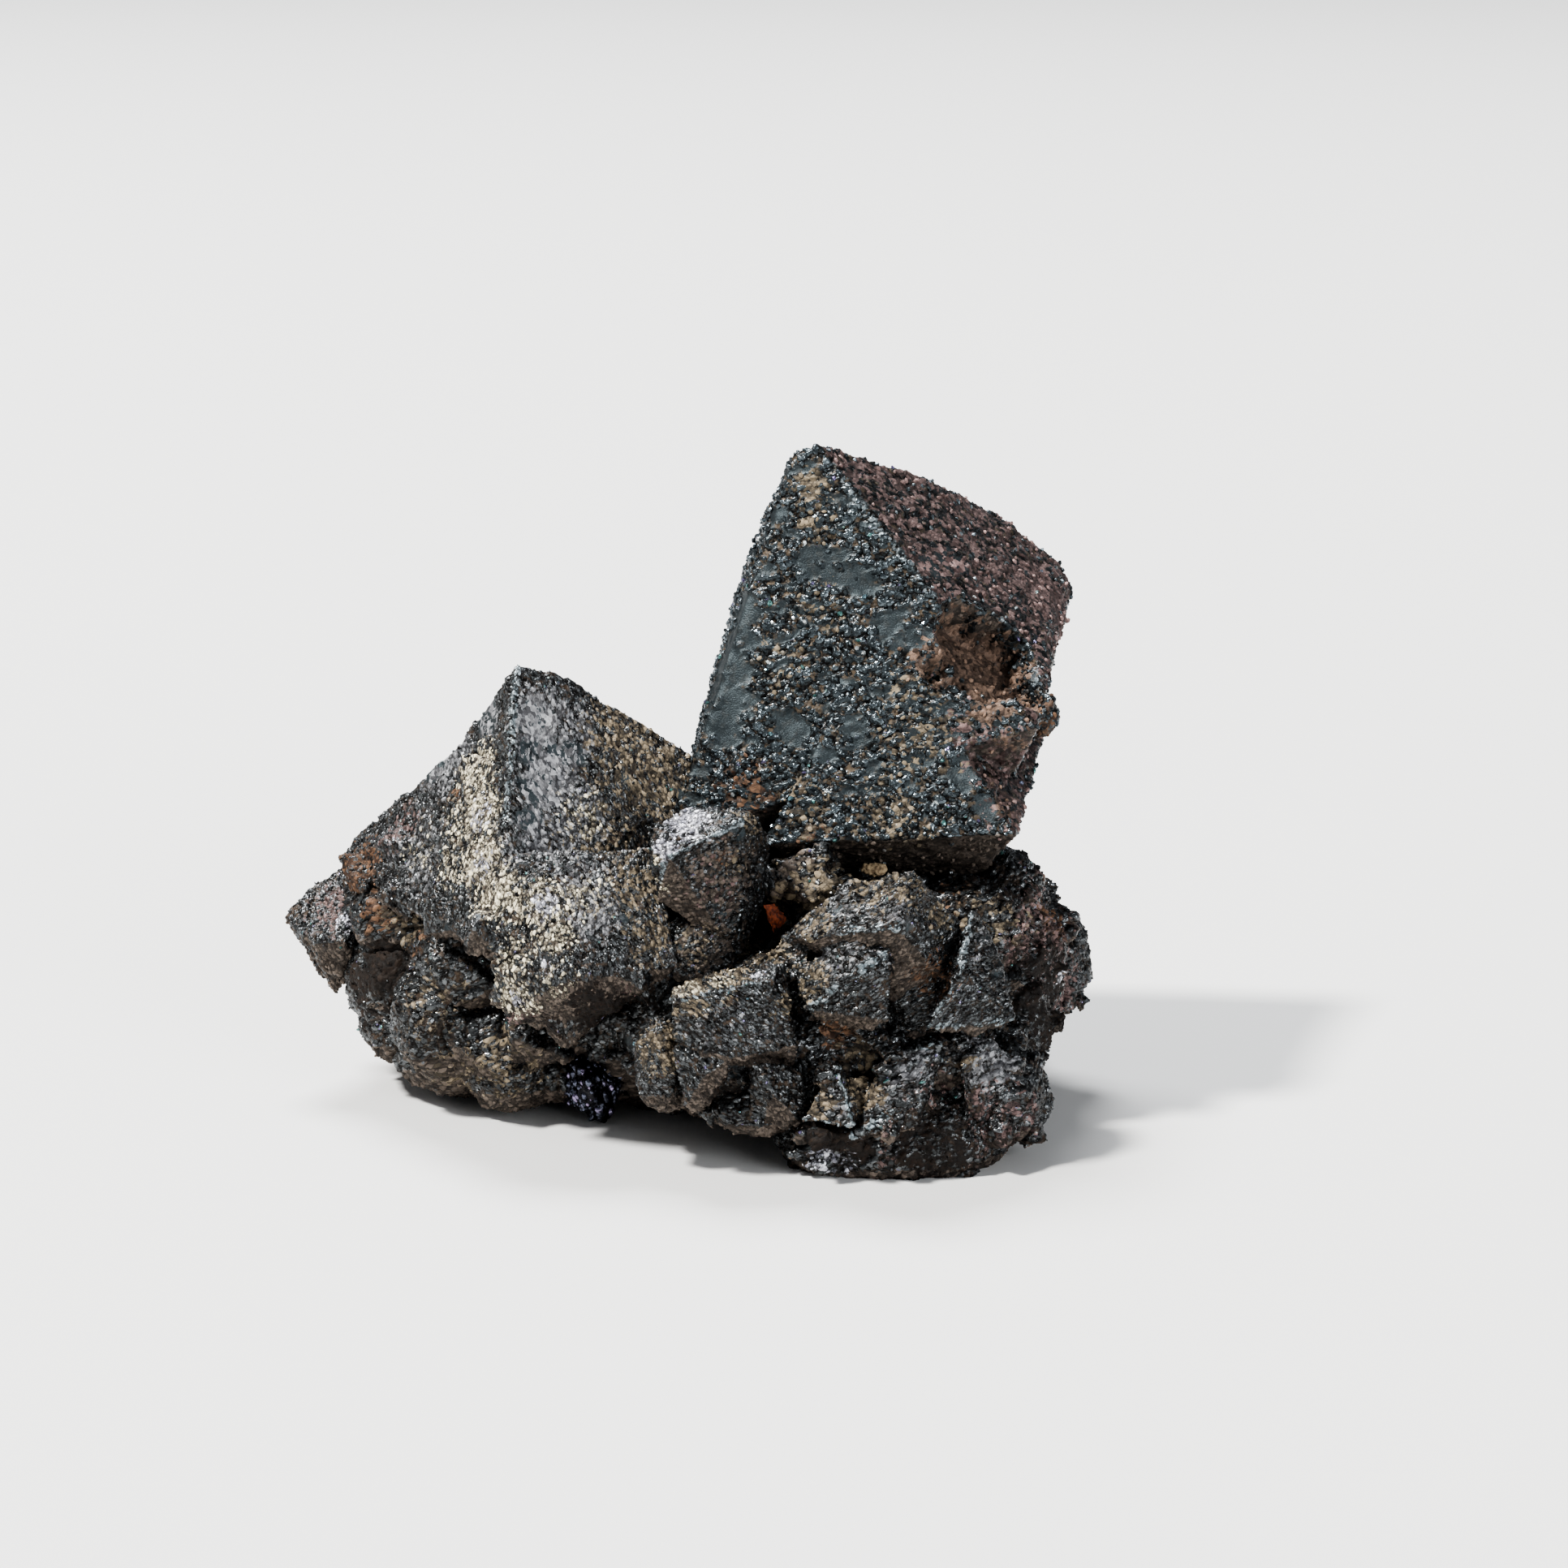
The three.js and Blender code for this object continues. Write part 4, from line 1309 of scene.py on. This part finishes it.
rightFlank = {
    "lumps": [
        ((21.4, -2.0, 10.0), (4.4, 6.0, 6.4)), ((22.0, -5.0, 7.2), (3.0, 4.6, 4.4)),
        ((21.8, -3.2, 15.4), (2.4, 3.0, 2.8)), ((18.8, -6.6, 13.6), (4.2, 3.6, 3.6)),
    ],
    "growths": {
        "rightTip": {
            "top": (26.0, 4.0, 11.6), "upperRight": (28.0, 4.2, 10.2), "lowerRight": (28.0, 3.8, 7.2),
            "low": (27.2, 3.0, 5.4), "bottom": (25.4, 1.0, 5.0), "front": (26.1, 0.0, 9.5),
            "frontTop": (25.0, -0.6, 11.5), "back": (22.0, 8.0, 8.6),
        },
    },
    "crystals": [
        ((24.4, -0.8, 12.2), (3.0, 3.2, 2.8), (-25, 20, 40)),
        ((24.4, 0.0, 7.2), (2.6, 2.6, 2.4), (50, -10, 30)),
        ((22.6, 6.5, 10.5), (4.6, 4.6, 4.2), (10, -35, 60)),
    ],
    "voxel": 0.13,
    "look": crumblyLook | {"swell": 0.6},
    "studs": (2.8, 0.6, 1.2),
    "stains": {
        # painted shade in the recesses at the front of the flank
        "earth": [(24.0, -6.5, 9.0, 7.0, 0.6), (21.0, -7.0, 17.0, 4.0, 0.5)],
        "dust": [(20.4, -9.4, 15.4, 3.6, 0.5), (23.4, -6.4, 14.0, 2.4, 0.4)],
        "maroon": [(24.0, -6.5, 12.0, 7.0, 0.75), (25.5, -2.0, 6.5, 6.0, 0.7)],
        "rust": [
            (25.0, -5.0, 9.0, 3.6, 0.6), (24.5, -4.0, 13.5, 3.4, 0.45), (19.0, -9.0, 15.5, 4.0, 0.35),
        ],
        # a painted highlight on the rim of the tip
        "edge": [(26.4, -1.0, 11.4, 2.0, 0.6)],
        "bright": [(25.6, -4.6, 9.6, 0.9, 0.8)],
    },
}

lowerLeft = {
    "lumps": [
        ((-16.7, -4.0, 6.6), (3.4, 3.4, 4.3)), ((-14.2, -3.6, 10.6), (4.4, 4.4, 3.4)),
        ((-19.8, 0.2, 12.6), (3.4, 3.2, 2.7)), ((-19.0, 2.0, 8.6), (4.2, 5.6, 4.4)),
        ((-21.4, 4.2, 12.0), (3.2, 3.8, 3.6)), ((-15.6, -1.0, 3.4), (4.6, 4.2, 2.9)),
        ((-19.4, 1.0, 5.0), (3.4, 4.2, 2.8)), ((-21.5, 1.6, 7.8), (2.0, 2.6, 3.4)),
        ((-11.7, -4.3, 3.2), (3.4, 4.0, 3.0)), ((-8.9, -4.6, 3.0), (2.0, 2.6, 2.2)),
        ((-11.0, 4.0, 6.8), (9.6, 9.0, 6.6)),
    ],
    "crystals": [
        ((-13.6, -6.4, 5.6), (3.4, 3.6, 3.4), (30, 15, 40)),
        ((-21.0, 2.2, 4.8), (2.6, 2.8, 2.4), (10, 35, 20)),
        ((-18.4, -2.0, 12.2), (2.6, 2.4, 2.4), (40, 10, 15)),
        ((-14.0, -6.6, 10.4), (2.8, 2.4, 2.6), (15, 40, 55)),
        ((-10.2, -7.0, 6.4), (3.4, 3.2, 3.2), (28, 12, 70)),
        ((-7.6, -6.0, 6.6), (2.8, 2.8, 2.8), (50, 30, 10)),
    ],
    "voxel": 0.15,
    "look": crumblyLook | {"swell": 0.6, "blockRise": 0.2},
    "stains": {
        # painted shade in the recess under the ledge of the left crystal
        "earth": [
            (-20.6, -2.6, 9.8, 3.0, 0.9), (-21.8, -0.4, 8.0, 2.4, 0.95), (-19.8, -3.2, 7.6, 2.2, 0.7),
            (-21.0, -0.8, 5.6, 2.4, 0.6), (-16.2, -7.6, 6.8, 4.0, 0.34),
        ],
        "rust": [(-20.5, -2.6, 13.4, 3.0, 0.55), (-18.0, -4.0, 12.2, 2.8, 0.45)],
        "dust": [
            (-16.8, -7.0, 8.0, 4.0, 0.36), (-12.5, -8.0, 4.6, 4.0, 0.5), (-15.5, -6.0, 4.0, 3.5, 0.45),
            (-18.6, -2.6, 13.0, 3.0, 0.5),
        ],
        "pale": [(-17.2, -7.0, 8.4, 2.6, 0.36), (-16.0, -7.4, 6.0, 2.4, 0.25)],
    },
}

core = {
    "lumps": [
        ((13.5, -4.5, 8.0), (9.5, 10.0, 8.6)), ((13.5, 6.0, 7.4), (10.5, 10.0, 8.4)),
        ((0.0, 2.0, 7.0), (11.5, 12.0, 8.2)), ((1.5, -8.0, 8.2), (6.5, 6.5, 5.8)),
        ((12.3, -7.4, 13.2), (4.2, 3.4, 2.9)), ((7.2, -5.4, 13.4), (2.8, 3.2, 3.6)),
        ((6.0, 11.0, 3.4), (11.0, 6.6, 3.9)), ((-9.0, 9.5, 3.4), (7.0, 6.0, 3.9)),
    ],
    "crystals": [
        ((16.0, 13.4, 8.6), (6.4, 6.4, 6.6), (15, 25, 10)),
        ((6.0, 14.6, 12.4), (5.6, 5.2, 5.6), (-20, 10, 50)),
        ((-4.5, 14.6, 9.6), (5.6, 5.4, 5.2), (35, -15, 20)),
        ((-14.0, 12.6, 9.4), (6.0, 6.2, 5.6), (-10, 40, 75)),
        ((-20.6, 8.4, 7.6), (3.8, 4.2, 3.8), (25, 5, 35)),
        ((-17.6, 10.6, 8.0), (4.0, 4.0, 4.4), (50, 20, 15)),
        ((12.6, -8.6, 14.4), (4.6, 3.6, 3.2), (12, 30, 20)),
        ((9.2, -9.4, 14.2), (3.0, 3.0, 3.0), (40, 5, 60)),
        ((8.5, -8.3, 17.5), (3.4, 3.3, 3.2), (20, 15, 10)),
        ((1.0, 16.0, 4.2), (4.0, 3.9, 3.6), (40, 30, 0)),
        ((10.6, 16.6, 4.0), (3.8, 3.9, 3.6), (5, 50, 25)),
    ],
    "voxel": 0.17,
    "look": crumblyLook,
    "studs": (3.0, 0.8, 1.6),
    "stains": {
        # matte dark brown in the cleft under the tall crystal: partly painted shade
        "dull": [
            (7.6, -9.8, 18.2, 3.0, 0.6), (5.4, -10.0, 14.0, 3.4, 0.7), (15.0, -10.0, 16.0, 3.0, 0.4),
        ],
        "maroon": [
            (10.0, 15.0, 6.0, 8.0, 0.5), (-16.0, 13.0, 8.0, 5.0, 0.4), (18.0, 14.0, 12.0, 4.0, 0.4),
        ],
        "pale": [
            (4.0, 19.0, 12.0, 4.0, 0.4), (-10.0, 15.0, 10.0, 3.6, 0.4), (20.0, 10.0, 11.0, 4.0, 0.4),
        ],
        "rust": [
            (8.0, -7.0, 15.0, 5.0, 0.5), (12.0, -10.0, 15.5, 4.0, 0.25), (-3.0, 15.0, 6.0, 5.0, 0.5),
        ],
        "dust": [
            (8.6, -11.4, 18.0, 3.0, 0.8), (6.0, 14.0, 16.0, 5.0, 0.6), (-13.0, 13.0, 13.0, 5.0, 0.5),
            (7.5, -8.0, 16.0, 4.0, 0.65), (12.0, -8.0, 17.0, 4.0, 0.5), (5.0, -12.0, 12.0, 4.0, 0.5),
            (9.2, -11.4, 15.8, 3.6, 0.7), (13.0, -11.0, 16.6, 3.6, 0.6),
        ],
    },
}

makePiece("lower_right_matrix", lowerRight, seed=61)
makePiece("right_flank_matrix", rightFlank, seed=71)
makePiece("lower_left_matrix", lowerLeft, seed=81)
makePiece("core_matrix", core, seed=91, spacing=0.9)


# the crystal at the far left

farLeftCrystal = {
    "growths": {
        "farLeft": {
            "top": (-24.0, 4.5, 15.0), "topLeft": (-26.6, 4.0, 13.5), "left": (-28.0, 3.3, 11.7),
            "topRight": (-21.5, 3.0, 13.5), "frontRight": (-23.5, -0.5, 11.0),
            "front": (-25.8, 0.5, 10.6), "bottom": (-24.6, 2.5, 6.2), "low": (-22.9, 1.5, 8.9),
            "back": (-23.1, 10.0, 11.0),
        },
    },
    "voxel": 0.11,
    "look": fineLook | {"beadRise": 0.2, "swell": 0.3},
    "stains": {
        "dull": [(-23.6, 0.6, 9.0, 2.2, 0.7)],
        "maroon": [(-24.5, 1.8, 12.8, 2.8, 0.55)],
        "pale": [(-24.5, 1.8, 12.8, 3.2, 0.6)],
        "bright": [(-23.2, 0.8, 12.2, 1.5, 0.7), (-25.2, 1.6, 13.0, 1.0, 0.5)],
        "rust": [(-22.2, 1.5, 13.6, 2.0, 0.7)],
    },
}

makePiece("far_left_crystal", farLeftCrystal, seed=101)


# the small glossy crystal under the left-hand one

glossyCrystal = {
    "corners": {
        "topLeft": (-7.6, -7.4, 4.9), "topRight": (-4.8, -7.4, 4.6), "right": (-4.1, -7.4, 3.0),
        "bottom": (-5.5, -7.4, 0.1), "lowLeft": (-8.0, -6.8, 1.2), "left": (-8.4, -6.4, 2.0),
        "front": (-6.4, -9.4, 3.6), "back": (-6.2, -3.0, 1.8),
    },
    "voxel": 0.09,
    "look": fineLook | {"bead": 0.4, "beadRise": 0.3, "swell": 0.4, "bareFrom": 0.75, "blockRise": 0.1},
    "dark": (0.022, 0.024, 0.034),
    "light": (0.13, 0.14, 0.19),
    "violet": (0.26, 0.22, 0.34),
    # painted shade in the gaps between the beads
    "gap": (0.008, 0.008, 0.012),
    "violetFrom": (0.8, 0.95),
    "metal": 0.9,
    "rough": (0.16, 0.08),
    "bump": (0.5, 0.15),
}


def glossyMaterial(made):
    material, tree, shader = newMaterial("martiteGlossy")
    place = objectPlace(tree)
    (height, _, chance), _ = crust(tree, attribute(tree, "laid", "Vector"))
    tone = chance[1]
    colour = mixColour(tree, tone, made["dark"], made["light"])
    colour = mixColour(tree, ramp(tree, tone, *made["violetFrom"]), colour, made["violet"])
    colour = mixColour(tree, ramp(tree, height, *beadRim), made["gap"], colour)
    tree.links.new(colour, shader.inputs["Base Color"])
    shader.inputs["Metallic"].default_value = made["metal"]
    rough = timesPlus(tree, wave(tree, place, "glossy"), *made["rough"])
    tree.links.new(rough, shader.inputs["Roughness"])
    bumpUp(tree, shader, height, *made["bump"])
    return material


def makeGlossyCrystal(made):
    parts = [growth("glossy_crystal", made["corners"])]
    piece = runTogether("glossy_crystal", parts, made["voxel"], easing=3)
    raiseRelief(piece, made["look"])
    trimFlat(piece)
    finished(piece, glossyMaterial(made))


makeGlossyCrystal(glossyCrystal)


# the two loose pieces: an orange chip and a clay nodule, on the solids they replace

loosePieces = {
    "orange_chip": {
        "slot": "orange_oxide",
        "light": (0.36, 0.085, 0.032),
        "dark": (0.11, 0.028, 0.014),
        "rise": 0.12,
    },
    "clay_nodule": {"slot": "clay", "light": (0.4, 0.3, 0.18), "dark": (0.15, 0.1, 0.055), "rise": 0.1},
}
looseMesh = {"merge": 0.001, "voxel": 0.06, "easing": 3}
earthy = {"mottle": (0.35, 0.62), "roughness": 0.8, "bump": (0.5, 0.06)}
looseLook = fineLook | {"bead": 0.4, "gritRise": 0.06, "swell": 0.3, "sink": 0.05, "blockRise": 0.1}


def earthyMaterial(name, made):
    material, tree, shader = newMaterial(name)
    fine = wave(tree, objectPlace(tree), "earthy")
    colour = mixColour(tree, ramp(tree, fine, *earthy["mottle"]), made["dark"], made["light"])
    tree.links.new(colour, shader.inputs["Base Color"])
    shader.inputs["Roughness"].default_value = earthy["roughness"]
    bumpUp(tree, shader, fine, *earthy["bump"])
    return material


def makeLoosePiece(name, made):
    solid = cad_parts[name]
    piece = solid.copy()
    piece.data = solid.data.copy()
    piece.name = name + "_look"
    piece.parent = None
    bpy.context.scene.collection.objects.link(piece)
    applied(piece, "WELD", merge_threshold=looseMesh["merge"] * mm)
    applied(piece, "REMESH", mode="VOXEL", voxel_size=looseMesh["voxel"] * mm)
    applied(piece, "SMOOTH", factor=0.5, iterations=looseMesh["easing"])
    raiseRelief(piece, looseLook | {"beadRise": made["rise"]})
    finished(piece, earthyMaterial(name + "Finish", made), name)


for looseName, loosePiece in loosePieces.items():
    makeLoosePiece(looseName, loosePiece)
